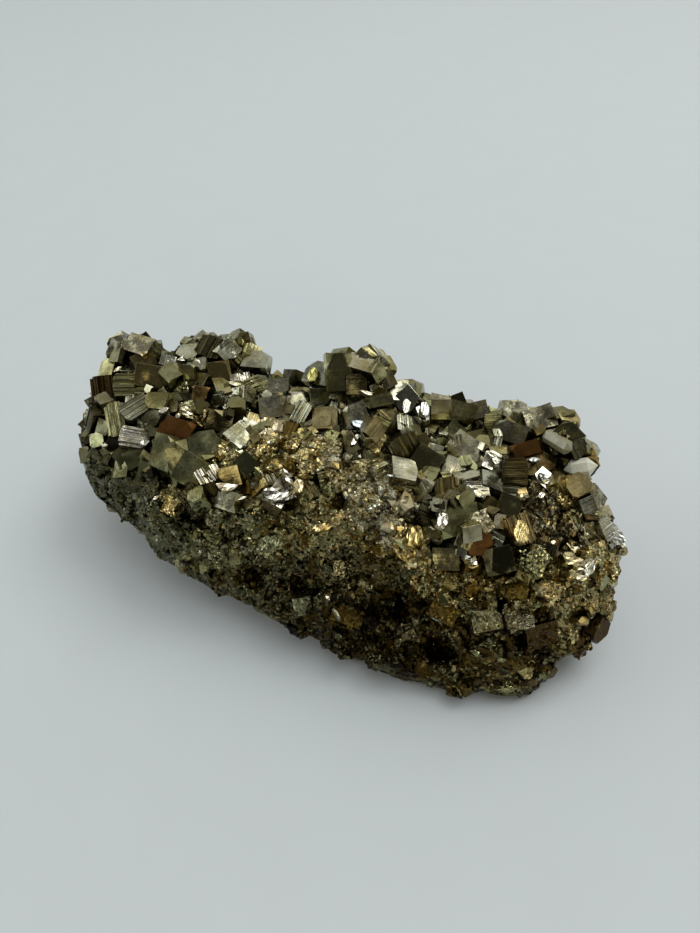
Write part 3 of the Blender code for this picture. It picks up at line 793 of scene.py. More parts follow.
def turned(normal: Vector, roll: float) -> Matrix:
    """The rotation that points a crystal along a normal.

    Args:
        normal: Where the crystal's own Z points.
        roll: Degrees that it rolls about it.

    Returns:
        The rotation.
    """
    side = Vector((0, 0, 1)).cross(normal)
    if side.length < 0.05:
        side = SHEET.right.copy()
    side.normalize()
    square = Matrix((side, normal.cross(side), normal)).transposed()
    return square.to_4x4() @ Matrix.Rotation(math.radians(roll), 4, "Z")


# ---------------------------------------------------------------- pieces
@dataclass
class Batch:
    """Faceted shapes that make one piece together.

    Args:
        name: The piece's name.
    """

    name: str
    corners: list[np.ndarray] = field(default_factory=list)
    loops: list[np.ndarray] = field(default_factory=list)
    sizes: list[np.ndarray] = field(default_factory=list)
    growth: list[np.ndarray] = field(default_factory=list)
    sheens: list[np.ndarray] = field(default_factory=list)
    count: int = 0

    def add(self, shape: Facets, place: Matrix, sheen: Sheen, scale: Sequence[float] = (1, 1, 1)) -> None:
        """Adds a shape.

        Args:
            shape: The shape.
            place: Where it goes, in millimetres.
            sheen: How it answers light.
            scale: Its stretch along its own three directions, before it is placed.
        """
        stretched = shape.corners * np.array(scale)
        self.corners.append(stretched @ np.array(place.to_3x3()).T + np.array(place.translation))
        self.loops.append(shape.loops + self.count)
        self.sizes.append(shape.sizes)
        # a shift of its own for each shape, so that neighbours' growth lines don't match
        self.growth.append(shape.growth * scale[0] + (self.count % 977) * 1.7)
        row = (*sheen.colour, sheen.roughness, sheen.metallic, sheen.lines)
        self.sheens.append(np.tile(row, (len(shape.sizes), 1)))
        self.count += len(shape.corners)

    def tree(self) -> BVHTree:
        """A tree of the faces added so far.

        Returns:
            The tree.
        """
        ends = np.cumsum(np.concatenate(self.sizes))[:-1]
        faces = [face.tolist() for face in np.split(np.concatenate(self.loops), ends)]
        return BVHTree.FromPolygons(np.concatenate(self.corners).tolist(), faces)

    def build(self, material: bpy.types.Material) -> bpy.types.Object:
        """Makes the piece, which rides on the specimen's body.

        Args:
            material: The piece's material.

        Returns:
            The piece.
        """
        corners = np.concatenate(self.corners) + np.array(TO_ORIGIN)
        corners = np.clip(corners, LOW + EDGE_GAP, HIGH - EDGE_GAP) * MM
        loops, sizes = np.concatenate(self.loops), np.concatenate(self.sizes)
        starts = np.concatenate(([0], np.cumsum(sizes)[:-1]))
        data = bpy.data.meshes.new(self.name)
        data.vertices.add(len(corners))
        data.vertices.foreach_set("co", corners.astype(np.float32).ravel())
        data.loops.add(len(loops))
        data.loops.foreach_set("vertex_index", loops.astype(np.int32))
        data.polygons.add(len(sizes))
        data.polygons.foreach_set("loop_start", starts.astype(np.int32))
        data.update(calc_edges=True)
        data.shade_flat()
        sheens = np.repeat(np.concatenate(self.sheens), sizes, axis=0).astype(np.float32)
        tint = data.attributes.new("tint", "FLOAT_COLOR", "CORNER")
        tint.data.foreach_set("color", np.column_stack((sheens[:, :3], np.ones(len(sheens)))).ravel())
        wear = data.attributes.new("wear", "FLOAT_VECTOR", "CORNER")
        wear.data.foreach_set("vector", sheens[:, 3:].ravel())
        growth = data.uv_layers.new(name="growth")
        growth.data.foreach_set("uv", np.concatenate(self.growth).astype(np.float32).ravel())
        data.materials.append(material)
        piece = placed(self.name, data)
        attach(piece, BODY)
        log.info("%s: %d triangles", self.name, (sizes - 2).sum())
        return piece


@dataclass(frozen=True)
class Crystal:
    """A crystal fused to the lump.

    Args:
        at: The middle of its near face on the sheet.
        size: The width and height of that face, and how deep the crystal reaches.
        lean: Degrees that the face turns from the eye, to the right and up.
        roll: Degrees that it turns in its own plane.
        finish: Its finish.
        lines: Which way the stepped growth lines of its near face run.
        out: How far the face stands out of the lump.
        grainy: Whether it is a rough lump that grains grow over.
    """

    at: Place
    size: Size
    lean: Place
    roll: float
    finish: Finish
    lines: Lines = Lines.NONE
    out: float = 1.5
    grainy: bool = False

    def shape(self, dice: random.Random) -> Facets:
        """The crystal's own shape: a chipped cube, stepped plates or, where rough, a lump.

        Args:
            dice: The source of chance.

        Returns:
            The shape, around its own origin.
        """
        width, height, depth = self.size
        size = (width * SPREAD, height * SPREAD, depth)
        if self.grainy:
            lump = chunk(dice, 34)
            return replace(lump, corners=lump.corners * np.array(size), growth=lump.growth * width)
        if self.lines is not Lines.NONE:
            return stacked_plates(size, self.lines, dice)
        faces = cube_faces(size, dice)
        faces += worn_edges(size, dice.uniform(0.03, 0.08))
        return Facets.grown(faces + oblique_faces(size, dice, 4))

    def place(self, lump: Lump) -> Matrix:
        """Where the crystal's middle goes, and how it is turned.

        Args:
            lump: The lump that it is seated on.

        Returns:
            The move and the turn.
        """
        normal = SHEET.leaning(self.lean)
        out = self.out + (ROUGH_OUT if self.grainy else 0.0)
        face = SHEET.seat(lump.tree, self.at) - SHEET.sight(self.at) * out
        return Matrix.Translation(face - normal * self.size[2] / 2) @ turned(normal, self.roll)


# The named crystals of each stretch, from the left end to the front
LEFT_END = (
    Crystal((-53.5, 31), (7, 5, 6), (-10, 30), 8, STEEL),
    Crystal((-59, 28.2), (3.6, 3.6, 4), (-25, 20), 30, DARK),
    Crystal((-52, 26.8), (5, 4.2, 5), (12, 5), 15, TAN),
    Crystal((-62.2, 19), (7, 7.2, 7), (-18, -8), 18, UMBER, lines=UPWARD),
    Crystal((-56.5, 20.8), (5.8, 5.6, 6), (8, 22), -14, OLIVE, lines=ACROSS),
    Crystal((-54, 15.3), (7, 4.6, 5), (4, 30), 28, STEEL, lines=ACROSS),
    Crystal((-59.4, 12), (4.2, 8, 5), (-12, 14), 34, OLIVE, lines=UPWARD),
    Crystal((-54.6, 7.5), (6, 4.4, 5), (14, 16), -30, MIRROR, lines=ACROSS),
    Crystal((-62.5, 10), (3.4, 3.2, 4), (-25, 5), 10, DARK),
    Crystal((-64, 6.8), (3.6, 3.4, 4), (-20, 12), 42, OLIVE),
    Crystal((-66, 11.5), (3.6, 5, 5), (-50, 0), 5, DARK, lines=UPWARD),
    Crystal((-44, 9.6), (7.2, 4.4, 6), (-6, 2), -12, RUST),
    Crystal((-49, 17.2), (5.2, 4.8, 5), (-14, 24), 20, OLIVE),
    Crystal((-50.4, 22.8), (6.8, 5, 6), (2, -4), -10, TAN),
    Crystal((-46, 26.4), (4, 3.6, 4), (16, 26), 45, STEEL),
    Crystal((-43, 20.6), (6.6, 5.4, 6), (6, 10), 12, OLIVE, grainy=True),
    Crystal((-47.6, 3), (5, 8.6, 6), (-16, 4), 4, GREEN),
    Crystal((-43.2, 1.2), (4.6, 8.4, 6), (10, -6), 2, GREEN),
)
CREST = (
    Crystal((-40.5, 29.6), (6, 5, 5), (-20, 32), 20, STEEL),
    Crystal((-35.4, 30.4), (5.8, 5.4, 6), (-4, 18), -16, DARK, lines=UPWARD),
    Crystal((-30.4, 29.6), (5, 4.4, 5), (34, 10), 10, STEEL),
    Crystal((-33, 24), (5, 4.6, 5), (4, 0), 6, TAN),
    Crystal((-38, 25.6), (4.2, 3.8, 4), (-12, 20), 38, STEEL),
    Crystal((-30, 16.2), (7.2, 6.8, 7), (-6, 14), 24, STEEL, grainy=True),
    Crystal((-33.6, 11.6), (6.6, 4.4, 6), (8, -10), -18, DARK),
    Crystal((-38, 18.2), (4, 3.8, 4), (-22, 6), 14, UMBER),
    Crystal((-37.6, 15), (3.4, 3, 4), (14, 20), 40, OLIVE),
    Crystal((-40.4, -1), (6.2, 6.4, 6), (-8, 8), -20, OLIVE),
    Crystal((-35.6, -1.8), (5.2, 3.6, 5), (22, 28), -18, MIRROR, lines=UPWARD),
    Crystal((-30.4, -2.6), (4.2, 4.2, 5), (4, -14), 10, TAN),
    Crystal((-37.4, -7.6), (7.6, 7, 7), (16, -12), 26, DARK, lines=UPWARD),
    Crystal((-31.4, -8.4), (4.4, 4, 5), (-20, 10), 8, STEEL),
)
MIDDLE = (
    Crystal((-24, 27.2), (6, 4.6, 5), (-8, 26), 12, STEEL),
    Crystal((-18.6, 20.4), (5.6, 3.8, 5), (6, 18), -10, STEEL),
    Crystal((-20.2, 15), (5, 4.8, 5), (-12, 6), 22, STEEL),
    Crystal((-24.6, 20.4), (4.4, 4, 5), (-20, -4), 36, OLIVE, lines=ACROSS),
    Crystal((-8.4, 23.8), (6, 5.4, 6), (-18, 14), 10, STEEL),
    Crystal((-2.4, 24), (6, 8.4, 7), (8, -4), -6, OLIVE),
    Crystal((2, 26.6), (8.6, 4, 6), (-8, 32), 6, STEEL),
    Crystal((7.2, 24.2), (3.8, 4.2, 5), (30, 8), 14, OLIVE),
    Crystal((7, 27.2), (4.6, 4.2, 5), (4, 10), 18, STEEL),
    Crystal((11.6, 19.4), (6.2, 5.2, 6), (10, 22), -20, STEEL),
    Crystal((1.6, 20.8), (4.4, 4.4, 5), (-4, -12), 4, DARK),
    Crystal((7, 16.4), (7, 4.4, 6), (4, 12), 8, OLIVE),
    Crystal((1.4, 13), (5.2, 5.2, 5), (-10, 12), 36, STEEL),
    Crystal((-6.6, 12.4), (5.2, 5, 5), (-14, 20), 28, TAN),
    Crystal((-7.2, 17.4), (5, 4.2, 5), (10, 8), -8, OLIVE),
    Crystal((-13, 12.6), (3.4, 7.4, 5), (-20, 2), -10, STEEL, lines=UPWARD),
    Crystal((-14.6, 5.8), (4.4, 4.2, 5), (8, 16), 20, GOLD, grainy=True),
    Crystal((5.6, 5.8), (7.6, 7, 7), (2, 12), 30, TAN, grainy=True),
    Crystal((14.2, 4.6), (6.6, 6, 7), (18, -6), 14, DARK, lines=UPWARD),
    Crystal((19.2, 1.4), (6, 5.4, 6), (-8, 6), -24, OLIVE),
    Crystal((-17, -5.6), (8, 4, 6), (16, 30), 16, MIRROR),
    Crystal((-12, -1), (4.6, 5, 5), (-10, -8), 40, TAN, grainy=True),
    Crystal((-22.4, 4.6), (5.4, 5, 6), (-16, 10), 6, GOLD, grainy=True),
    Crystal((-26.6, 0.4), (4.6, 4.2, 5), (12, 4), 30, OLIVE),
)
RIGHT_HALF = (
    Crystal((18.6, 13.6), (3.4, 4.2, 5), (4, 34), 10, MIRROR),
    Crystal((23, 14.6), (4.4, 4.2, 5), (-14, 12), 18, TAN),
    Crystal((27.6, 14), (6.8, 4.6, 6), (-6, 14), -6, OLIVE),
    Crystal((32.6, 14.4), (3.8, 4, 5), (-12, 14), 30, STEEL),
    Crystal((41.6, 14.6), (5.2, 4.6, 6), (-8, 28), 22, STEEL),
    Crystal((48, 12.4), (6.8, 5, 6), (4, 16), 6, STEEL),
    Crystal((40.4, 8.8), (7, 4.4, 6), (-8, 12), -8, STEEL),
    Crystal((29.4, 4.6), (8, 5.8, 7), (-10, 26), -16, STEEL),
    Crystal((36.6, 1.2), (4.6, 5, 5), (20, 26), 24, MIRROR),
    Crystal((44.6, 4), (6.2, 3.8, 5), (8, 8), 4, RUST),
    Crystal((57.8, 4.4), (3.8, 3.8, 5), (26, -6), 12, DARK, lines=UPWARD),
    Crystal((41.6, -3.2), (5.2, 8, 7), (-10, -10), 8, DARK, lines=ACROSS),
    Crystal((32, -6), (5.4, 4, 5), (8, 26), -20, MIRROR, lines=ACROSS),
    Crystal((27.6, -12.4), (7.2, 8, 7), (-4, 22), 14, OLIVE),
    Crystal((34.8, -14), (6.4, 5.4, 6), (18, 14), 38, PALE, grainy=True),
    Crystal((39.4, -11.6), (4.4, 7, 6), (-16, 4), -6, OLIVE),
    Crystal((32.4, -19.4), (5.4, 4.6, 7), (2, -6), 4, RUST),
    Crystal((43.2, -15.8), (5, 6, 6), (14, 18), -10, GOLD, lines=UPWARD),
    Crystal((24.6, -6), (4.8, 5.4, 6), (-14, 8), 22, TAN, lines=UPWARD),
    Crystal((26.4, 8.8), (4.4, 4, 5), (12, 10), 34, OLIVE),
    Crystal((49.4, -3), (3.8, 4.4, 5), (10, 30), 12, MIRROR),
    Crystal((55.4, -8.2), (7.6, 7.4, 8), (16, 8), 20, GOLD, out=0.9, grainy=True),
    Crystal((63.6, -41.2), (5, 5, 6), (34, -14), 22, UMBER),
    Crystal((-61.4, 25), (4.6, 4.4, 5), (-30, 10), 20, OLIVE),
    Crystal((47.2, -23.2), (8.2, 7.2, 8), (-6, 14), 30, OLIVE, out=2.6, grainy=True),
    Crystal((58, -25.2), (6.6, 5.2, 6), (24, 24), 10, MIRROR, grainy=True),
    Crystal((63.6, -27.6), (4.4, 6.8, 6), (40, 0), 6, OLIVE),
    Crystal((65.6, -16.4), (4.4, 6.4, 6), (36, 20), -24, MIRROR, lines=ACROSS),
    Crystal((62.4, -8.4), (5, 5, 6), (34, 6), 16, STEEL),
    Crystal((24.2, -23.4), (5, 4.2, 5), (-10, 4), 12, TAN),
    Crystal((37.6, -23.8), (5.4, 5, 6), (-8, 2), 24, DARK),
)
FRONT = (
    Crystal((15.4, -19.2), (6.4, 7, 6), (12, 18), 24, GOLD, lines=UPWARD, grainy=True),
    Crystal((-34.8, -17.4), (7.2, 4.6, 6), (-4, 18), -14, GREEN, grainy=True),
    Crystal((-29.6, -22.4), (4.4, 4.4, 5), (-10, 6), 20, GREEN, grainy=True),
    Crystal((-21, -20), (8.4, 8, 6), (-6, 8), 12, GREEN, out=0.8, grainy=True),
    Crystal((-12.2, -35.4), (3.6, 3.6, 5), (-16, -6), 24, GREEN),
    Crystal((-0.6, -37.4), (6.4, 4, 5), (-10, 4), -6, BROWN),
    Crystal((-2.4, -25.4), (5, 4, 5), (8, 14), 16, TAN, grainy=True),
    Crystal((42.4, -31.8), (7.2, 5.4, 7), (-8, 0), -12, BROWN, grainy=True),
    Crystal((42.6, -37.6), (5.4, 5.2, 6), (-10, 24), 36, STEEL, lines=ACROSS),
    Crystal((34.6, -38.8), (5.8, 4, 6), (4, 8), 4, TAN),
    Crystal((34.2, -33.8), (4.2, 4, 5), (-14, 12), 20, OLIVE),
    Crystal((30.8, -31.2), (4.2, 5.4, 6), (-20, -8), 8, BROWN, grainy=True),
    Crystal((48.6, -43), (6.2, 5.4, 7), (8, -12), 6, UMBER),
    Crystal((23.6, -36.8), (5.4, 3.6, 5), (2, 8), -30, BROWN),
    Crystal((52.2, -31), (6.4, 5.8, 6), (10, 10), 26, GOLD, grainy=True),
    Crystal((62.4, -33.8), (5.2, 5.6, 6), (30, 4), 14, TAN, grainy=True),
    Crystal((66, -36), (4, 4, 6), (44, -10), 10, TAN, grainy=True),
    Crystal((58.4, -45.4), (5.6, 5, 8), (14, -20), 42, UMBER, grainy=True),
    Crystal((14.6, -43), (4, 4.2, 5), (-4, -10), 30, DARK, grainy=True),
    Crystal((44.8, -52.6), (5, 5, 6), (0, -20), 14, TAN, grainy=True),
    Crystal((-45, -9.6), (6.4, 5.6, 5), (6, 10), 22, GOLD, out=0.9, grainy=True),
    Crystal((-37.6, -26), (4.6, 3.6, 6), (-24, -14), 10, OLIVE, grainy=True),
)
STRETCHES = {
    "crystals_left_end": LEFT_END,
    "crystals_crest": CREST,
    "crystals_middle": MIDDLE,
    "crystals_right_half": RIGHT_HALF,
    "crystals_front": FRONT,
}
# The stretch whose crystals are as dull as the grains around them
DULL_STRETCH = "crystals_front"


@dataclass(frozen=True)
class Flake:
    """A sliver of fresh, bright metal: thin, a little crumpled and sometimes bowed.

    Args:
        at: Its middle on the sheet.
        size: Its length and width.
        roll: Degrees that its length turns up from level.
        bow: How far its middle bends aside.
        finish: Its finish.
        lean: Degrees that it turns from the eye, to the right and up.
        out: How far it stands out of the lump.
        crumple: How unlike in height its corners are.
    """

    at: Place
    size: Place
    roll: float
    bow: float = 0.0
    finish: Finish = MIRROR
    lean: Place = GLINT_LEAN
    out: float = 2.2
    crumple: float = 0.08

    def shape(self, dice: random.Random) -> Facets:
        """The flake's own shape: facets in rows along its length, narrow at its ends.

        Args:
            dice: The source of chance.

        Returns:
            The shape, around its own origin.
        """
        steps, rows = max(3, round(self.size[0] / 0.8)), max(2, round(self.size[1] / 0.9))
        top = []
        for step, row in itertools.product(range(steps + 1), range(rows + 1)):
            along, across = 2 * step / steps - 1, 2 * row / rows - 1
            half = self.size[1] / 2 * (1 - 0.8 * abs(along) ** 4) * dice.uniform(0.75, 1.1)
            middle = self.bow * (1 - along * along)
            height = self.crumple * dice.uniform(-1, 1)
            slant = 0.3 * half * across + dice.uniform(-0.12, 0.12)
            top.append((self.size[0] / 2 * along + slant, middle + half * across, height))
        corners = top + [(x, y, -1.2) for x, y, _ in top]
        ring = [step * (rows + 1) for step in range(steps + 1)]
        ring += [ring[-1] + row for row in range(1, rows + 1)]
        ring += [step * (rows + 1) + rows for step in range(steps - 1, -1, -1)]
        ring += list(range(rows - 1, 0, -1))
        faces = []
        for step, row in itertools.product(range(steps), range(rows)):
            first = step * (rows + 1) + row
            faces += [[first, first + rows + 1, first + rows + 2], [first, first + rows + 2, first + 1]]
        under = len(top)
        for start, end in zip(ring, ring[1:] + ring[:1]):
            faces.append([start, start + under, end + under, end])
        faces.append([corner + under for corner in reversed(ring)])
        return Facets.of(np.array(corners), faces)

    def place(self, lump: Lump) -> Matrix:
        """Where the flake's middle goes, and how it is turned.

        Args:
            lump: The lump that it is seated on.

        Returns:
            The move and the turn.
        """
        face = SHEET.seat(lump.tree, self.at) - SHEET.sight(self.at) * self.out
        normal = SHEET.leaning(self.lean)
        side = (SHEET.right - normal * normal.dot(SHEET.right)).normalized()
        square = Matrix((side, normal.cross(side), normal)).transposed().to_4x4()
        return Matrix.Translation(face) @ square @ Matrix.Rotation(math.radians(self.roll), 4, "Z")


FLAKES = (
    Flake((-17.3, -6.2), (8.6, 3.2), 8, -0.9, out=3.4, crumple=0.3),
    Flake((-13, -5), (3.6, 2.6), 60, finish=SPARK, out=3.4, crumple=0.3),
    Flake((-15.6, -2.8), (5, 1.5), -62, out=3, crumple=0.25),
    Flake((-31, -4.6), (5, 2), 4, -0.6, out=3, crumple=0.25),
    Flake((-28.3, -7.8), (4, 0.9), 14, -0.3),
    Flake((-23.5, 21.5), (3.2, 1.4), 12),
    Flake((-28.6, 20.8), (4.6, 1), -6, finish=SPARK),
    Flake((-41.6, 27.4), (4, 1.6), 30),
    Flake((-37.8, 26.4), (3.4, 0.8), -38),
    Flake((-47, 14.3), (2.6, 1.6), 40),
    Flake((-51.8, 6.2), (2.2, 1.9), 20),
    Flake((-61.9, 5.5), (1.4, 1.1), 0),
    Flake((-58.6, 24.6), (2.8, 1), 50, finish=SPARK),
    Flake((-41, 13.6), (4, 2.2), -50, finish=SPARK, crumple=0.35),
    Flake((-9.4, 23.2), (4.4, 2.6), 66, finish=BRASS, lean=(12, 24), out=3.4),
    Flake((2.3, 10.7), (3.6, 2.2), -14, finish=ICE, out=3, crumple=0.03),
    Flake((5.4, 10), (4.2, 0.9), -33, finish=ICE, out=3, crumple=0.03),
    Flake((1.3, 6.8), (3.7, 1.3), 60, out=3, crumple=0.03),
    Flake((14.3, 15.4), (4.8, 1.9), 76, out=3, crumple=0.02),
    Flake((18.9, 14.6), (4.2, 2.3), 78, finish=ICE, out=3, crumple=0.02),
    Flake((4.2, 18.7), (3.2, 1.1), -14, out=2.8),
    Flake((10.8, -2.3), (2.6, 0.8), 0),
    Flake((36.9, 1.2), (6.2, 2.6), -58, 0.8, crumple=0.12, out=2.8),
    Flake((32, -6.3), (4.2, 2.2), -40, out=2.6),
    Flake((23.4, -13.5), (3.4, 3), 42, crumple=0.12, out=2.6),
    Flake((30.6, -23.6), (3, 1.7), -36, crumple=0.25, out=2.6),
    Flake((49.4, -3), (3.6, 2.6), -42, crumple=0.3),
    Flake((48.2, -7.2), (2, 1.2), 20, crumple=0.2),
    Flake((46.6, 1.8), (3, 1.1), 10, finish=ICE),
    Flake((56.6, -23.8), (5.4, 3.4), -34, finish=SPARK, crumple=0.26, out=3.4),
    Flake((60, -25.4), (5.8, 3.2), 38, crumple=0.26, lean=(22, 28), out=3.4),
    Flake((57.4, -27.4), (4.6, 2.8), -12, finish=SPARK, crumple=0.26, out=3.4),
    Flake((66.4, -16.8), (7.4, 4.8), -54, crumple=0.18, lean=(24, 26), out=4.2),
    Flake((43.2, -16.4), (5.6, 3.8), 66, finish=GOLD, crumple=0.12, out=2.6),
    Flake((16.2, -17.6), (5.6, 3.6), 50, finish=GOLD, crumple=0.3, out=2.4),
    Flake((31.6, -35.8), (2.8, 0.9), -26, out=2.4),
    Flake((22.2, -38), (4, 0.8), -22, out=2.4),
    Flake((-5.6, -33), (1.6, 0.8), -50),
    Flake((-3.4, -37.2), (3, 0.5), -58, 0.3, finish=PALE, out=2.4),
    Flake((-37.2, -21), (1.6, 0.9), 20, crumple=0.2),
    Flake((-49, -7.8), (1.5, 0.8), 40, finish=SPARK),
    Flake((-7, -15.4), (4.6, 2), 14, finish=GOLD, crumple=0.4, lean=(12, 24), out=2.4),
)


@dataclass
class NamedCrystals:
    """The crystals of the tables, one piece for each stretch, and the flakes on them.

    Args:
        lump: The lump that they are seated on.
        material: Their material.
        rough_material: The material of the ones that grains grow over.
    """

    lump: Lump
    material: bpy.types.Material
    rough_material: bpy.types.Material

    def build(self) -> list[BVHTree]:
        """Makes the pieces.

        Returns:
            Trees of the crystals, which nothing grows over.
        """
        numbers = itertools.count(SEED)
        rough = Batch("rough_crystals")
        trees = []
        for name, crystals in STRETCHES.items():
            plain = Batch(name)
            for crystal in crystals:
                dice = random.Random(next(numbers))
                shape = crystal.shape(dice)
                shade = ROUGH_SHADE if crystal.grainy else PLAIN_SHADE
                sheen = crystal.finish.sheen.varied(dice, NAMED_SPREAD).shaded(shade)
                sheen = replace(sheen, lines=UNLINED if crystal.lines is Lines.NONE else LINED)
                batch = rough if crystal.grainy else plain
                batch.add(shape, crystal.place(self.lump), sheen)
            trees.append(plain.tree())
            plain.build(self.rough_material if name == DULL_STRETCH else self.material)
        rough.build(self.rough_material)
        self._flakes()
        return [*trees, rough.tree()]

    def _flakes(self) -> None:
        """Makes the piece of the flakes."""
        flakes = Batch("bright_flakes")
        for number, flake in enumerate(FLAKES):
            dice = random.Random(SEED + number)
            sheen = flake.finish.sheen.varied(dice, NAMED_SPREAD)
            sheen = replace(sheen, lines=FINE_LINES if flake.crumple < 0.2 else UNLINED)
            flakes.add(flake.shape(dice), flake.place(self.lump), sheen)
        flakes.build(self.material)


# ---------------------------------------------------------------- what grows between them
@dataclass(frozen=True)
class Skin:
    """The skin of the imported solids, sorted into zones.

    Args:
        form: The form of the lump, which says where the surface is granular.
        points: Places spread over the skin.
        normals: The way the skin faces at each.
    """

    form: LumpForm
    points: np.ndarray
    normals: np.ndarray

    # the height of the lump's middle, and how far from the eye its far side faces
    MIDDLE_HEIGHT = 19.0
    FAR_FACING = 0.2
    # the height below which the skin is as plain as the far side; grains there are drawn half as light,
    # painted shade near the floor
    PLAIN_BELOW = 4.0
    # how far the edges of the zones waver, and how far it is from crevice to crevice
    WAVER = 1.8
    CREVICE_STEP = 4.4

    @classmethod
    def sampled(cls, solid: bpy.types.Object, form: LumpForm, count: int) -> Skin:
        """The skin of a solid, with places strewn evenly over it.

        Args:
            solid: The solid, in metres.
            form: The form of the lump.
            count: How many places to strew.

        Returns:
            The skin.
        """
        solid.data.calc_loop_triangles()
        corners = np.array([vert.co for vert in solid.data.vertices]) / MM - np.array(TO_ORIGIN)
        faces = np.array([triangle.vertices for triangle in solid.data.loop_triangles])
        ends = corners[faces]
        across = np.cross(ends[:, 1] - ends[:, 0], ends[:, 2] - ends[:, 0])
        area = np.linalg.norm(across, axis=1)
        chance = np.random.default_rng(SEED)
        chosen = chance.choice(len(faces), count, p=area / area.sum())
        first, second = chance.random((2, count, 1))
        over = first + second > 1
        first, second = np.where(over, 1 - first, first), np.where(over, 1 - second, second)
        start = ends[chosen, 0]
        points = start + first * (ends[chosen, 1] - start) + second * (ends[chosen, 2] - start)
        return cls(form, points, across[chosen] / area[chosen, None])

    def zone(self, point: Vector) -> tuple[Zone, float]:
        """The zone that a point is deepest in, and how far out in it the point is.

        Args:
            point: The point.

        Returns:
            The zone, and how far out: 0 in its middle and 1 at its edge.
        """
        across, up = SHEET.place(point)
        waver = self.WAVER * noise.noise(Vector(point) / 4.0)
        reaches = []
        for zone in ZONES:
            side = (across + waver - zone.at[0]) / zone.reach[0]
            rise = (up - waver - zone.at[1]) / zone.reach[1]
            reaches.append(side * side + rise * rise)
        best = int(np.argmin(reaches))
        return ZONES[best], reaches[best]

    def sheen(self, point: Vector, dice: random.Random, grainy: bool) -> Sheen:
        """The sheen of one grain or crystal at a point of the skin.

        Args:
            point: The point.
            dice: The source of chance.
            grainy: Whether it is a grain, of one finish with the grains around it.

        Returns:
            The sheen.
        """
        zone = self.zone(point)[0]
        mix, shade = zone.mix, zone.shade
        # grains on the far side and on the low skin are drawn half as light; on the low skin this is painted
        # shade near the floor
        if self._is_far(point) or point.z < self.PLAIN_BELOW:
            mix, shade = (FAR_SKIN, 0.5) if grainy else (DRUSE_SKIN, 1.0)
        chance = dice.random()
        if grainy:
            chance = (1.8 * noise.noise(Vector(point) / 4.2) + 0.36 * chance) % 1.0
        return drawn(mix, chance).sheen.varied(dice, STREWN_SPREAD).shaded(shade)

    def crevice(self, point: Vector) -> float:
        """How deep in a crevice between lumps a point of the granular skin is, from 0 to 1.

        Args:
            point: The point.

        Returns:
            The depth.
        """
        lumps = abs(noise.noise(Vector(point) / self.CREVICE_STEP))
        depth = 0.75 + 1.3 * noise.noise(Vector(point) / 12.0 + Vector((7.0, 3.0, 1.0)))
        return max(max(0.0, 1.0 - lumps / 0.2) * min(max(depth, 0.2), 1.0), self.pit(point))

    def pit(self, point: Vector) -> float:
        """How deep in a pit between crystals a point is, from 0 to 1.

        Args:
            point: The point.

        Returns:
            The depth.
        """
        if self._is_far(point):
            return 0.0
        place = SHEET.place(point)
        away = min(math.dist(place, pit.at) / pit.radius for pit in self.form.pits)
        waver = noise.noise(Vector(point) / 2.4) + 0.6 * noise.noise(Vector(point) / 1.1)
        return min(max(1.7 - 1.7 * (away + 0.75 * waver), 0.0), 1.0)

    def _is_far(self, point: Vector) -> bool:
        """Whether a point is on the side away from the display eye."""
        spoke = Vector((0.0, point.y, point.z - self.MIDDLE_HEIGHT)).normalized()
        return spoke.dot(SHEET.ahead) > self.FAR_FACING

    def is_grainy(self, point: Vector) -> bool:
        """Whether grains cover the skin here instead of small crystals.

        Args:
            point: A point of the skin.

        Returns:
            Whether they do.
        """
        if self._is_far(point):
            return self.form.is_granular(point, is_far=True)
        zone, reach = self.zone(point)
        return self.form.is_granular(point, is_far=False) or (zone.mix in GRAINY_MIXES and reach < 1.0)


def room_at(point: Vector, clear: list[BVHTree], room: float = 4.0) -> float:
    """How far a point is from the nearest crystal of the trees.

    Args:
        point: The point.
        clear: The trees.
        room: The most that it looks for, in millimetres.

    Returns:
        The distance, which is 0 inside a crystal.
    """
    for tree in clear:
        spot, normal, _, reach = tree.find_nearest(point, room)
        if spot is not None:
            room = 0.0 if (point - spot).dot(normal) < 0.0 else reach
    return room


@dataclass
class Growth:
    """Small crystals and grains strewn over the skin between the named crystals.

    Args:
        skin: The skin that they grow on.
        clear: Trees of the crystals that nothing grows over.
        material: Their material.
    """

    skin: Skin
    clear: list[BVHTree]
    material: bpy.types.Material
    taken: dict[tuple[int, ...], list[tuple[Vector, float]]] = field(default_factory=dict)

    def _ground(self, is_open: Callable[[Vector], bool]) -> list[Spot]:
        """The open places of the skin."""
        spots = zip(map(Vector, self.skin.points), map(Vector, self.skin.normals))
        return [(point, normal, room_at(point, self.clear)) for point, normal in spots if is_open(point)]

    def _take(self, point: Vector, size: float, cell: float = 3.0) -> bool:
        """Takes a place, unless something already grows too near to it.

        Args:
            point: The place.
            size: The size of what would grow there.
            cell: The side of the cells that places are kept in.

        Returns:
            Whether the place was free.
        """
        here = tuple(int(part // cell) for part in point)
        for step in itertools.product((-1, 0, 1), repeat=3):
            for other, reach in self.taken.get(tuple(a + b for a, b in zip(here, step)), ()):
                if (point - other).length < 0.5 * (size + reach):
                    return False
        self.taken.setdefault(here, []).append((point, size))
        return True


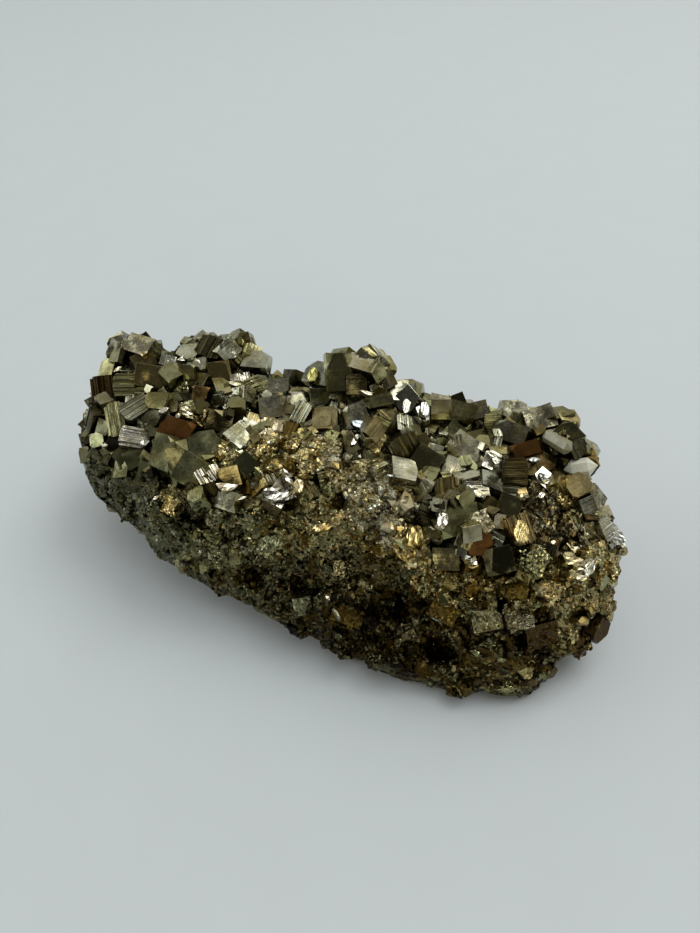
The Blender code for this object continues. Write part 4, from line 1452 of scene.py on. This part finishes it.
class SmallCrystals(Growth):
    """Cube crystals of 2 to 8 mm that fill the druse between the named ones."""

    # for each round, the least and most edge, and the room that a millimetre of edge needs
    ROUNDS = ((5.6, 8.0, 0.38), (4.0, 5.6, 0.32), (2.2, 4.0, 0.27))
    # how near they stand, against their edges
    SPACING = 0.56
    # how many plain templates there are, the side of the stepped ones, and the share of those
    TEMPLATES = 14
    STEPPED = 4
    STEPPED_SHARE = 0.22
    # the most edge that there is room for at either end, and where along X the ends begin
    END_EDGE = 4.4
    END = 56.0

    def build(self) -> None:
        """Makes the pieces, one for each half of the specimen, the larger crystals first."""
        dice = random.Random(SEED + 3)
        plain = [self._template(dice) for _ in range(self.TEMPLATES)]
        stepped = [stacked_plates((self.STEPPED,) * 3, lines, dice) for lines in (ACROSS, UPWARD) * 3]
        left, right = Batch("small_crystals_left"), Batch("small_crystals_right")
        ground = self._ground(self._is_druse)
        for least, most, needed in self.ROUNDS:
            for point, normal, room in ground:
                edge = dice.uniform(least, most)
                is_wide = edge > self.END_EDGE and abs(point.x) > self.END
                if is_wide or room < needed * edge or not self._take(point, edge * self.SPACING):
                    continue
                size, place = self._place(point, normal, edge, dice)
                sheen = self.skin.sheen(point, dice, False)
                batch = left if point.x < 0 else right
                if dice.random() < self.STEPPED_SHARE:
                    stretch = [side / self.STEPPED for side in size]
                    batch.add(dice.choice(stepped), place, replace(sheen, lines=FINE_LINES), stretch)
                else:
                    batch.add(dice.choice(plain), place, sheen, size)
        for batch in (left, right):
            batch.build(self.material)

    def _is_druse(self, point: Vector) -> bool:
        """Whether small crystals grow at a point."""
        return point.z > 3.0 and not self.skin.is_grainy(point) and self.skin.pit(point) < 0.6

    @staticmethod
    def _place(point: Vector, normal: Vector, edge: float, dice: random.Random) -> tuple[Size, Matrix]:
        """Turns a crystal any way about and sinks it into the skin.

        Args:
            point: The place it grows at.
            normal: The way the skin faces there.
            edge: Its edge.
            dice: The source of chance.

        Returns:
            Its three sides, and where it goes.
        """
        swing = Vector([dice.uniform(-1, 1) for _ in range(3)])
        away = (normal + 0.6 * swing).normalized()
        size = (edge, edge * dice.uniform(0.8, 1.2), edge * dice.uniform(0.8, 1.2))
        turn = turned(away, dice.uniform(0, 90))
        own = turn.to_3x3().transposed() @ normal
        reach = sum(abs(part) * side / 2 for part, side in zip(own, size))
        sunk = 0.35 * edge / 2 + 0.65 * reach - min(0.25 * edge, 1.2) * dice.uniform(0.0, 1.0)
        return size, Matrix.Translation(point - normal * sunk) @ turn

    @staticmethod
    def _template(dice: random.Random) -> Facets:
        """A cube crystal of one millimetre, with worn edges."""
        unit = (1, 1, 1)
        return Facets.grown(cube_faces(unit, dice) + worn_edges(unit, 0.015) + oblique_faces(unit, dice, 3))


@dataclass
class Grains(Growth):
    """Broken grains that make the granular skin.

    Args:
        bright: The material of the larger, fresh and bright ones.
    """

    bright: bpy.types.Material | None = None

    # the stretches that the grains are sorted into, and where along X each but the last ends
    NAMES = ("left_end", "left", "middle", "right", "right_end")
    ENDS = (-40.0, -12.0, 14.0, 40.0)
    # how high a grain's middle is at the least, and the room that it needs
    LEAST_HEIGHT = 0.8
    LEAST_ROOM = 0.3
    # a grain is fresh when it is as large and as light as this, in this share of cases
    FRESH_SIZE = 1.1
    FRESH_GREEN = 0.38
    FRESH_SHARE = 0.7

    def build(self) -> None:
        """Makes the pieces, one for each stretch of the specimen and one of bright grains."""
        dice = random.Random(SEED + 4)
        shapes = [chunk(dice) for _ in range(30)]
        batches = [Batch(f"grains_{name}") for name in self.NAMES]
        fresh = Batch("bright_grains")
        ground = self._ground(self._is_granular)
        # each with its size, its spacing against that, and how far it stands out
        large = [(*spot, dice.uniform(2.6, 4.6), 0.8, -0.42) for spot in self._wide(ground)]
        small = [(*spot, 0.55 + 1.9 * dice.random() ** 2.2, 0.72, -0.15) for spot in ground]
        for point, normal, room, size, spacing, out in large + small:
            size = min(size, 0.7 + 1.4 * room)
            is_low = point.z < self.LEAST_HEIGHT + size / 3
            if is_low or room < self.LEAST_ROOM or not self._take(point, size * spacing):
                continue
            crevice = self.skin.crevice(point)
            # painted shade: grains in crevices and pits are drawn up to three quarters darker, beside being
            # sunk
            sheen = self.skin.sheen(point, dice, True).shaded(1.0 - 0.75 * crevice)
            is_light = size > self.FRESH_SIZE and sheen.colour[1] > self.FRESH_GREEN
            is_fresh = is_light and dice.random() < self.FRESH_SHARE
            facing = normal
            if is_fresh and dice.random() < GLINTS:
                stray = [dice.uniform(-GLINT_STRAY, GLINT_STRAY) for _ in GLINT_LEAN]
                facing = SHEET.leaning([part + off for part, off in zip(GLINT_LEAN, stray)])
                out = max(out, -0.3)
            out = size * (out + dice.uniform(-0.1, 0.1)) - 1.6 * crevice
            place = Matrix.Translation(point + normal * out) @ turned(facing, dice.uniform(0, 360))
            stretch = [size * dice.uniform(*span) for span in ((0.9, 1.5), (0.8, 1.2), (0.7, 1.0))]
            batch = fresh if is_fresh else batches[int(np.searchsorted(self.ENDS, point.x))]
            batch.add(dice.choice(shapes), place, sheen, stretch)
        fresh.build(self.bright)
        for batch in batches:
            batch.build(self.material)

    def _is_granular(self, point: Vector) -> bool:
        """Whether grains grow at a point."""
        return point.z > self.LEAST_HEIGHT and self.skin.is_grainy(point)

    def _wide(self, ground: list[Spot]) -> list[Spot]:
        """The places of the large grains: some of those in sight, and more where it is golden."""
        seen = [spot for spot in ground if spot[1].dot(SHEET.ahead) < -0.6]
        golden = [i % 5 == 0 and self._is_gold(spot[0]) for i, spot in enumerate(seen)]
        return [spot for i, spot in enumerate(seen) if i % 12 == 0 or golden[i]]

    def _is_gold(self, point: Vector) -> bool:
        """Whether a point is in a stretch of golden grains."""
        return self.skin.zone(point)[0].mix is GOLD_SKIN


@dataclass
class Ground:
    """The rough skin of the lump, seen between the crystals and the grains.

    Args:
        solid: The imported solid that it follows.
        skin: The zones of the skin.
        clear: Trees of the crystals that it stays beneath.
        material: Its material.
        voxel: The cell of its skin.
    """

    solid: bpy.types.Object
    skin: Skin
    clear: list[BVHTree]
    material: bpy.types.Material
    voxel: float = 0.7

    # the height below which the resting face stays flat, and how near a crystal it dips
    FLAT_BELOW = 0.6
    DIP_WITHIN = 0.25

    def build(self) -> None:
        """Makes the piece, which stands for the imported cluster."""
        mesh = one_skin(self.solid.data.copy(), self.voxel)
        bmesh.ops.translate(mesh, vec=-TO_ORIGIN, verts=mesh.verts)
        mesh.normal_update()
        moves = [self._move(vert.co) for vert in mesh.verts]
        for vert, move in zip(mesh.verts, moves):
            vert.co += vert.normal * move
        corners = np.array([vert.co for vert in mesh.verts])
        faces = [[vert.index for vert in face.verts] for face in mesh.faces]
        sheens = [self._sheen(face.calc_center_median()) for face in mesh.faces]
        mesh.free()
        loops = np.concatenate(faces)
        growth = corners[loops][:, :2] + corners[loops][:, 2:] * (0.6, 0.3)
        sizes = np.array([len(face) for face in faces])
        batch = Batch("granular_ground", [corners], [loops], [sizes], [growth], [np.array(sheens)])
        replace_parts(batch.build(self.material), CLUSTER_NODE)

    def _move(self, point: Vector) -> float:
        """How far the skin moves out here: fine grit, and inward beside crystals.

        Args:
            point: A point of the skin.

        Returns:
            The distance.
        """
        if point.z < self.FLAT_BELOW:
            return 0.0
        grit = noise.fractal(point / 1.5, 0.8, 2.3, 3)
        if not self.skin.is_grainy(point) or room_at(point, self.clear) < self.DIP_WITHIN:
            return 0.22 * grit - 1.1
        return 0.4 * grit - 1.7 * self.skin.crevice(point) + 0.1

    def _sheen(self, point: Vector) -> tuple[float, ...]:
        """How the skin answers light here, as a row of numbers.

        Args:
            point: The middle of a face.

        Returns:
            Its colour, roughness, share of metal and strength of lines.
        """
        cell = Vector(round(part / 1.1) for part in point)
        dice = random.Random(noise.cell(cell * 1.37 + Vector((0.5, 0.5, 0.5))))
        grainy = self.skin.is_grainy(point)
        sheen = self.skin.sheen(point, dice, grainy)
        # painted shade: the ground seen between crystals is drawn at 0.3, under grains at 0.8, and darker
        # still in pits
        shade = (0.8 if grainy else 0.3) * (1.0 - 0.8 * self.skin.pit(point))
        return (*(part * shade for part in sheen.colour), sheen.roughness + 0.1, sheen.metallic, UNLINED)


# ---------------------------------------------------------------- materials
@dataclass
class NodeTree:
    """A node tree being built, with short ways to add nodes and to feed their inputs.

    Args:
        tree: The tree.
    """

    tree: bpy.types.NodeTree

    @classmethod
    def group(cls, name: str, **inputs: str) -> tuple[NodeTree, list[Socket]]:
        """Starts a shader node group.

        Args:
            name: The group's name.
            **inputs: The type of each input by name.

        Returns:
            Its tree, and what its inputs bring.
        """
        tree = bpy.data.node_groups.new(name, "ShaderNodeTree")
        for label, kind in inputs.items():
            tree.interface.new_socket(label, in_out="INPUT", socket_type=kind)
        given = tree.nodes.new("NodeGroupInput")
        return cls(tree), [given.outputs[label] for label in inputs]

    def give(self, **outputs: tuple[str, Socket]) -> bpy.types.NodeTree:
        """Ends a shader node group.

        Args:
            **outputs: The type and source of each output by name.

        Returns:
            The group.
        """
        for label, (kind, _) in outputs.items():
            self.tree.interface.new_socket(label, in_out="OUTPUT", socket_type=kind)
        end = self.tree.nodes.new("NodeGroupOutput")
        for label, (_, source) in outputs.items():
            self.feed(end.inputs[label], source)
        return self.tree

    def feed(self, target: Socket, value: Feed) -> None:
        """Joins an output to an input, or sets the input to a constant.

        Args:
            target: The input.
            value: What it takes.
        """
        if isinstance(value, Socket):
            self.tree.links.new(value, target)
        else:
            target.default_value = value

    def node(self, kind: str, inputs: Feeds | None = None, **settings: object) -> bpy.types.Node:
        """Adds a node.

        Args:
            kind: The node's type, without its ShaderNode.
            inputs: What its inputs take, by name or number.
            **settings: Its settings by name.

        Returns:
            The node.
        """
        node = self.tree.nodes.new("ShaderNode" + kind)
        for name, value in settings.items():
            setattr(node, name, value)
        for name, value in (inputs or {}).items():
            self.feed(node.inputs[name], value)
        return node

    def use(self, group: bpy.types.NodeTree, inputs: Feeds) -> Sequence[Socket]:
        """Adds a shader node group, and gives its outputs."""
        return self.node("Group", inputs, node_tree=group).outputs

    def place(self) -> Socket:
        """The coordinates of an object's own frame."""
        return self.node("TexCoord").outputs["Object"]

    def cloud(self, place: Socket, scale: float, detail: float, roughness: float = 0.5) -> bpy.types.Node:
        """Adds a noise texture of this scale, detail and roughness over a place."""
        inputs = {"Vector": place, "Scale": scale, "Detail": detail, "Roughness": roughness}
        return self.node("TexNoise", inputs)

    def ramp(self, source: Socket, low: float, high: float) -> Socket:
        """A value that goes from 0 at low to 1 at high."""
        inputs = {"Value": source, "From Min": low, "From Max": high}
        return self.node("MapRange", inputs, interpolation_type="SMOOTHSTEP").outputs["Result"]

    def math(self, operation: str, first: Socket, second: Feed) -> Socket:
        """The outcome of a sum on a value and a value or number."""
        return self.node("Math", {0: first, 1: second}, operation=operation).outputs[0]

    def vector(self, operation: str, first: Socket, second: Feed) -> Socket:
        """The outcome of a sum on a vector and another, or the number that scales it."""
        inputs = {0: first, "Scale" if operation == "SCALE" else 1: second}
        return self.node("VectorMath", inputs, operation=operation).outputs[0]

    def mixed(self, amount: Socket, first: Feed, second: Feed, blend: str = "MIX") -> Socket:
        """A mix of two colours, with so much of the second."""
        inputs = {"Factor": amount, 6: first, 7: second}
        return self.node("Mix", inputs, data_type="RGBA", blend_type=blend).outputs[2]


FLOAT, COLOUR, VECTOR = "NodeSocketFloat", "NodeSocketColor", "NodeSocketVector"
# What each effect tints the metal with
FILM_TINT = (0.76, 0.70, 0.52, 1.0)
SPECK_TINT = (0.48, 0.43, 0.30, 1.0)
# painted shade: darkens alternate growth lines, as their slopes would be shaded
LINE_SHADE_TINT = (0.66, 0.65, 0.60, 1.0)
FACET_TINT = (0.16, 0.14, 0.10, 1.0)
# the colour of the dust, and also of the painted shade in hollows and gaps
DUST_AND_SHADE_COLOUR = (0.012, 0.009, 0.005, 1.0)


def growth_lines_group() -> bpy.types.NodeTree:
    """The fine steps along the growth lines of a crystal face: a height, and a painted shade of alternate
    lines.

    Returns:
        The group.
    """
    build, (growth,) = NodeTree.group("growth_lines", Growth=VECTOR)
    stretch = build.node("Mapping", {"Vector": growth, "Scale": (0.025, 1.9, 1.0)}).outputs["Vector"]
    coarse = build.cloud(stretch, scale=1.0, detail=2.0, roughness=0.6).outputs["Fac"]
    fine = build.math("MULTIPLY", build.cloud(stretch, scale=3.6, detail=1.0).outputs["Fac"], 0.35)
    height = build.math("ADD", coarse, fine)
    return build.give(Height=(FLOAT, height), Shade=(FLOAT, build.ramp(coarse, 0.44, 0.6)))


def micro_facets_group() -> bpy.types.NodeTree:
    """Facets too small to model: the way that each one leans, and a number of its own.

    Returns:
        The group.
    """
    build, (place, lean, sway) = NodeTree.group("micro_facets", Place=VECTOR, Lean=FLOAT, Sway=FLOAT)
    crooked = build.vector("SCALE", build.cloud(place, scale=900.0, detail=2.0).outputs["Color"], 0.0006)
    bent = build.vector("ADD", place, crooked)
    leans = [(build.cloud(place, scale=210.0, detail=1.0).outputs["Color"], sway)]
    for scale, share in ((950.0, 1.0), (2300.0, 0.9)):
        cells = build.node("TexVoronoi", {"Vector": bent, "Scale": scale}).outputs["Color"]
        leans.append((cells, build.math("MULTIPLY", lean, share)))
    facing = build.node("NewGeometry").outputs["Normal"]
    for colour, amount in leans:
        swing = build.vector("SUBTRACT", colour, (0.5, 0.5, 0.5))
        facing = build.vector("ADD", facing, build.vector("SCALE", swing, amount))
    even = build.node("VectorMath", {0: facing}, operation="NORMALIZE").outputs[0]
    number = build.node("SeparateXYZ", {0: cells}).outputs["X"]
    return build.give(Normal=(VECTOR, even), Cell=(FLOAT, number))


def tarnish_group() -> bpy.types.NodeTree:
    """The film that dulls and yellows the metal in patches: a colour and a roughness.

    Returns:
        The group.
    """
    sockets = {"Colour": COLOUR, "Roughness": FLOAT, "Place": VECTOR}
    build, (colour, roughness, place) = NodeTree.group("tarnish", **sockets)
    patch = build.ramp(build.cloud(place, scale=150.0, detail=3.0, roughness=0.6).outputs["Fac"], 0.42, 0.68)
    speck = build.ramp(build.cloud(place, scale=620.0, detail=2.0, roughness=0.6).outputs["Fac"], 0.5, 0.72)
    dulled = build.mixed(patch, colour, FILM_TINT, "MULTIPLY")
    flecked = build.mixed(build.math("MULTIPLY", speck, 0.45), dulled, SPECK_TINT, "MULTIPLY")
    rough = build.math("MULTIPLY", build.math("ADD", patch, speck), 0.07)
    rough = build.math("ADD", roughness, rough)
    return build.give(Colour=(COLOUR, flecked), Roughness=(FLOAT, rough))


def dust_and_shade_group() -> bpy.types.NodeTree:
    """Dark iron oxide dust in hollows and gaps: how much of it there is.

    Returns:
        The group.
    """
    build, (place,) = NodeTree.group("dust_and_shade", Place=VECTOR)
    dust = build.ramp(build.cloud(place, scale=260.0, detail=4.0, roughness=0.7).outputs["Fac"], 0.54, 0.74)
    # painted shade: ambient occlusion darkens the hollows and gaps, where little of the room is seen
    shelter = build.node("AmbientOcclusion", {"Distance": 0.0022}, samples=6).outputs["AO"]
    return build.give(Dust=(FLOAT, dust), Gap=(FLOAT, build.ramp(shelter, 0.75, 0.15)))


def new_material(name: str, base: str) -> tuple[bpy.types.ID, NodeTree, bpy.types.Node]:
    """A material or world with a tree's builder and its shader.

    Args:
        name: Its name.
        base: The name of its shader: a material's Principled BSDF or a world's Background.

    Returns:
        The material or world, the builder and the shader.
    """
    kinds = bpy.data.worlds if base == "Background" else bpy.data.materials
    made = kinds.new(name)
    made.use_nodes = True
    return made, NodeTree(made.node_tree), made.node_tree.nodes[base]


@dataclass(frozen=True)
class PyriteLook:
    """The metal of the specimen.

    Args:
        name: The material's name.
        dust: The share of the dust that it shows.
        hollow_shade: The painted shade of its hollows and gaps: how dark they are drawn.
        relief: The strength of its growth lines.
        lean: How far its micro facets lean.
        sway: How far its faces bend.
        speckle: How unlike in tone they are.
    """

    name: str
    dust: float
    hollow_shade: float
    relief: float
    lean: float
    sway: float
    speckle: float

    def material(self, groups: dict[str, bpy.types.NodeTree]) -> bpy.types.Material:
        """Makes the material.

        Args:
            groups: The shared node groups by name.

        Returns:
            The material.
        """
        material, build, shader = new_material(self.name, "Principled BSDF")
        place = build.place()
        tint = build.node("Attribute", attribute_name="tint").outputs["Color"]
        wear = build.node("Attribute", attribute_name="wear").outputs["Vector"]
        roughness, metallic, lines = build.node("SeparateXYZ", {0: wear}).outputs
        growth = build.node("UVMap", uv_map="growth").outputs["UV"]

        film = build.use(groups["tarnish"], {"Colour": tint, "Roughness": roughness, "Place": place})
        steps = build.use(groups["lines"], {"Growth": growth})
        dust_and_shade = build.use(groups["dust_and_shade"], {"Place": place})
        facets = build.use(groups["facets"], {"Place": place, "Lean": self.lean, "Sway": self.sway})

        # painted shade: alternate growth lines are darkened, beside their real relief in the bump below
        line_shade = build.math("MULTIPLY", steps["Shade"], lines)
        shaded = build.mixed(line_shade, film["Colour"], LINE_SHADE_TINT, "MULTIPLY")
        pale = build.math("MULTIPLY", facets["Cell"], self.speckle)
        speckled = build.mixed(pale, shaded, FACET_TINT, "MULTIPLY")
        # the dark colour is dust and also painted shade: ambient occlusion darkens the hollows
        dusty = build.math("MULTIPLY", dust_and_shade["Dust"], self.dust)
        dulled = build.math("MAXIMUM", dusty, build.math("MULTIPLY", dust_and_shade["Gap"], self.hollow_shade))
        colour = build.mixed(dulled, speckled, DUST_AND_SHADE_COLOUR)
        rough = build.math("ADD", film["Roughness"], build.math("MULTIPLY", dulled, 0.3))
        bare = build.math("SUBTRACT", metallic, build.math("MULTIPLY", dusty, 0.8))

        ridges = build.math("MULTIPLY", steps["Height"], lines)
        relief = {"Height": ridges, "Strength": self.relief, "Distance": 0.00025}
        bump = build.node("Bump", relief | {"Normal": facets["Normal"]}).outputs["Normal"]
        finished = {"Base Color": colour, "Roughness": rough, "Metallic": bare, "Normal": bump}
        for name, source in finished.items():
            build.feed(shader.inputs[name], source)
        return material


@dataclass(frozen=True)
class QuartzLook:
    """The milky, slightly green quartz of the prisms.

    Args:
        name: The material's name.
        colour: Its colour.
        veil: The colour of the clouds in it.
        absorbs: The colour that is left of light deep inside it.
    """

    name: str
    colour: Colour
    veil: Colour
    absorbs: Colour = (0.86, 0.86, 0.66)

    def material(self) -> bpy.types.Material:
        """Makes the material.

        Returns:
            The material.
        """
        material, build, shader = new_material(self.name, "Principled BSDF")
        cloud = build.cloud(build.place(), scale=420.0, detail=4.0, roughness=0.65).outputs["Fac"]
        veil = build.ramp(cloud, 0.35, 0.7)
        bump = {"Height": cloud, "Strength": 0.25, "Distance": 0.0001}
        finished = {
            "Base Color": build.mixed(veil, (*self.colour, 1.0), (*self.veil, 1.0)),
            "Roughness": build.math("ADD", build.math("MULTIPLY", veil, 0.2), 0.16),
            "Normal": build.node("Bump", bump).outputs["Normal"],
        }
        for name, source in finished.items():
            build.feed(shader.inputs[name], source)
        shader.inputs["IOR"].default_value = 1.544
        shader.inputs["Transmission Weight"].default_value = 0.2
        depth = build.node("VolumeAbsorption", {"Color": (*self.absorbs, 1.0), "Density": 60.0})
        output = material.node_tree.nodes["Material Output"]
        build.feed(output.inputs["Volume"], depth.outputs["Volume"])
        return material


MILKY = QuartzLook("milky_quartz", (0.97, 0.96, 0.82), (0.86, 0.85, 0.66))
STAINED = QuartzLook("stained_quartz", (0.43, 0.42, 0.27), (0.34, 0.31, 0.18))


# ---------------------------------------------------------------- quartz
@dataclass(frozen=True)
class QuartzPrism:
    """A six-sided prism that lies in the lump's skin, with a point at each end.

    Args:
        name: The name of its piece.
        node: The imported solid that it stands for.
        tip: Where its free end is on the sheet.
        foot: Where its other end is on the sheet.
        above: How far the tip stands over the lump's skin.
        below: How far the foot lies beneath it.
        width: Its width across the flats.
        point: The length of each point.
        look: Its material.
    """

    name: str
    node: str
    tip: Place
    foot: Place
    above: float
    below: float
    width: float
    point: float
    look: QuartzLook

    def faces(self, length: float) -> list[Face]:
        """The growth faces of the prism, with a narrow one along each edge.

        Args:
            length: The distance from point to point.

        Returns:
            The faces.
        """
        flat = self.width / 2
        slope = math.atan2(flat, self.point)
        faces: list[Face] = []
        for side in range(6):
            around = 2 * math.pi * side / 6
            outward = Vector((math.cos(around), math.sin(around), 0))
            faces.append((tuple(outward), flat))
            between = around + math.pi / 6
            faces.append(((math.cos(between), math.sin(between), 0), flat / math.cos(math.pi / 6) - 0.06))
            for end in (-1, 1):
                leaned = outward * math.cos(slope) + Vector((0, 0, end)) * math.sin(slope)
                faces.append((tuple(leaned), length / 2 * math.sin(slope)))
        return faces

    def build(self, lump: Lump) -> BVHTree:
        """Makes the prism where its solid is.

        Args:
            lump: The lump that it lies in.

        Returns:
            A tree of the prism.
        """
        tip = SHEET.seat(lump.tree, self.tip) - SHEET.sight(self.tip) * self.above
        foot = SHEET.seat(lump.tree, self.foot) + SHEET.sight(self.foot) * self.below
        axis = (tip - foot).normalized()
        place = Matrix.Translation((tip + foot) / 2) @ turned(axis, 15)
        batch = Batch(self.name)
        batch.add(Facets.grown(self.faces((tip - foot).length)), place, PALE.sheen)
        piece = batch.build(self.look.material())
        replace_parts(piece, self.node)
        return batch.tree()


PRISMS = (
    QuartzPrism("quartz_long", "quartz_crystal_long", (62.6, 0.3), (53.8, -0.9), 3.6, 0.2, 4, 2.2, MILKY),
    QuartzPrism("quartz_short", "quartz_crystal_short", (56, 4), (48.8, 8.4), 3.4, 1.2, 3.2, 1.2, STAINED),
)


# ---------------------------------------------------------------- the stage
@dataclass(frozen=True)
class SoftLight:
    """A flat, even light that faces the specimen.

    Args:
        name: Its name.
        toward: The direction to it from the specimen.
        distance: How far it is, in metres.
        size: Its width and height, in metres.
        power: Its power, in watts.
        colour: Its colour.
        mirrored: Whether metal mirrors it.
    """

    name: str
    toward: Size
    distance: float
    size: Place
    power: float
    colour: Colour
    mirrored: bool = True

    def build(self) -> None:
        """Adds the light."""
        data = bpy.data.lights.new(self.name, "AREA")
        data.shape = "RECTANGLE"
        data.size, data.size_y = self.size
        data.energy = self.power
        data.color = self.colour
        light = placed(self.name, data)
        light.visible_glossy = self.mirrored
        away = Vector(self.toward).normalized()
        light.location = away * self.distance
        light.rotation_euler = away.to_track_quat("Z", "Y").to_euler()


LIGHTS = (
    SoftLight("key_light", (0.35, 0.45, 0.82), 1.5, (0.9, 0.7), 6.0, (1.0, 0.99, 0.97)),
    SoftLight("left_fill", (-0.85, -0.10, 0.45), 1.6, (1.2, 0.6), 4.0, (0.88, 0.96, 1.0)),
    SoftLight("front_fill", (0.30, -0.90, 0.40), 1.5, (0.9, 0.4), 2.2, (1.0, 0.90, 0.68)),
    SoftLight("floor_fill", (0.15, 0.10, 0.90), 1.6, (1.4, 1.0), 5.5, (0.90, 0.97, 1.0), False),
)


@dataclass(frozen=True)
class Stage:
    """The floor, the soft room light and the camera at the display eye.

    Args:
        floor_side: The side of the floor, in metres.
        floor_colour: The floor's colour.
        room: The colour of the room's light.
        room_strength: Its strength.
        lens: The camera's focal length, for a frame 36 mm high.
    """

    floor_side: float = 5.0
    floor_colour: Colour = (0.665, 0.715, 0.735)
    room: Colour = (1.0, 0.985, 0.94)
    room_strength: float = 0.44
    lens: float = 26.0

    def build(self) -> None:
        """Makes all of it."""
        self._floor()
        self._room()
        for soft in LIGHTS:
            soft.build()
        self._camera()
        bpy.context.scene.view_settings.view_transform = "Standard"

    def _room(self) -> None:
        """Adds the soft light of a room: uneven, and dimmer in front of the specimen."""
        world, build, background = new_material("soft_room", "Background")
        toward = build.node("TexCoord").outputs["Generated"]
        patch = build.ramp(build.cloud(toward, scale=2.1, detail=2.0).outputs["Fac"], 0.36, 0.62)
        ahead = build.node("VectorMath", {0: toward, 1: tuple(-SHEET.ahead)}, operation="DOT_PRODUCT")
        dim = build.ramp(ahead.outputs["Value"], 0.35, 0.98)
        low, high = ((*(part * light for part in self.room), 1.0) for light in (0.10, 2.2))
        dimmed = build.mixed(dim, build.mixed(patch, low, high), (0.10, 0.10, 0.10, 1.0))
        build.feed(background.inputs["Color"], dimmed)
        background.inputs["Strength"].default_value = self.room_strength
        bpy.context.scene.world = world

    def _floor(self) -> None:
        """Adds the plain pale floor, which is no part of the specimen."""
        mesh = bmesh.new()
        bmesh.ops.create_grid(mesh, x_segments=1, y_segments=1, size=self.floor_side / 2)
        data = bpy.data.meshes.new("floor")
        mesh.to_mesh(data)
        mesh.free()
        material, build, shader = new_material("pale_floor", "Principled BSDF")
        cloud = build.cloud(build.place(), scale=55.0, detail=5.0, roughness=0.6).outputs["Fac"]
        soft = build.math("MULTIPLY", cloud, 0.10)
        tone = build.mixed(soft, (*self.floor_colour, 1.0), (0.42, 0.42, 0.40, 1.0))
        build.feed(shader.inputs["Base Color"], tone)
        shader.inputs["Roughness"].default_value = 0.85
        data.materials.append(material)
        placed("floor", data)

    def _camera(self) -> None:
        """Adds the camera at the display eye, looking along the line of sight."""
        data = bpy.data.cameras.new("display_camera")
        data.lens = self.lens
        data.sensor_width = 36.0
        data.clip_start = 0.01
        camera = placed("display_camera", data)
        square = Matrix((SHEET.right, SHEET.up, -SHEET.ahead)).transposed().to_4x4()
        camera.matrix_world = Matrix.Translation((SHEET.eye + TO_ORIGIN) * MM) @ square
        bpy.context.scene.camera = camera


# ---------------------------------------------------------------- the specimen
@dataclass
class PyriteSpecimen:
    """The whole specimen, dressed.

    Args:
        solid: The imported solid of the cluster.
    """

    solid: bpy.types.Object

    def build(self) -> None:
        """Builds the pieces in order, from the lump outward."""
        groups = {
            "lines": growth_lines_group(),
            "facets": micro_facets_group(),
            "tarnish": tarnish_group(),
            "dust_and_shade": dust_and_shade_group(),
        }
        crystal_look = PyriteLook("pyrite_crystal", 0.1, 0.9, 1.0, 0.07, 0.5, 0.2).material(groups)
        grain_look = PyriteLook("pyrite_granular", 0.45, 0.35, 0.5, 0.85, 0.4, 0.3).material(groups)
        lump = Lump().build()
        log.info("the lump is worked out")
        clear = NamedCrystals(lump, crystal_look, grain_look).build()
        clear += [prism.build(lump) for prism in PRISMS]
        skin = Skin.sampled(self.solid, lump.form, SKIN_PLACES)
        SmallCrystals(skin, clear, crystal_look).build()
        Grains(skin, clear, grain_look, bright=crystal_look).build()
        Ground(self.solid, skin, clear, grain_look).build()


def main() -> None:
    """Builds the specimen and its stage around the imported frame."""
    logging.basicConfig(level=logging.INFO, format="%(message)s")
    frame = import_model()
    PyriteSpecimen(frame["nodes"][CLUSTER_NODE]).build()
    Stage().build()


if __name__ == "__main__":
    main()
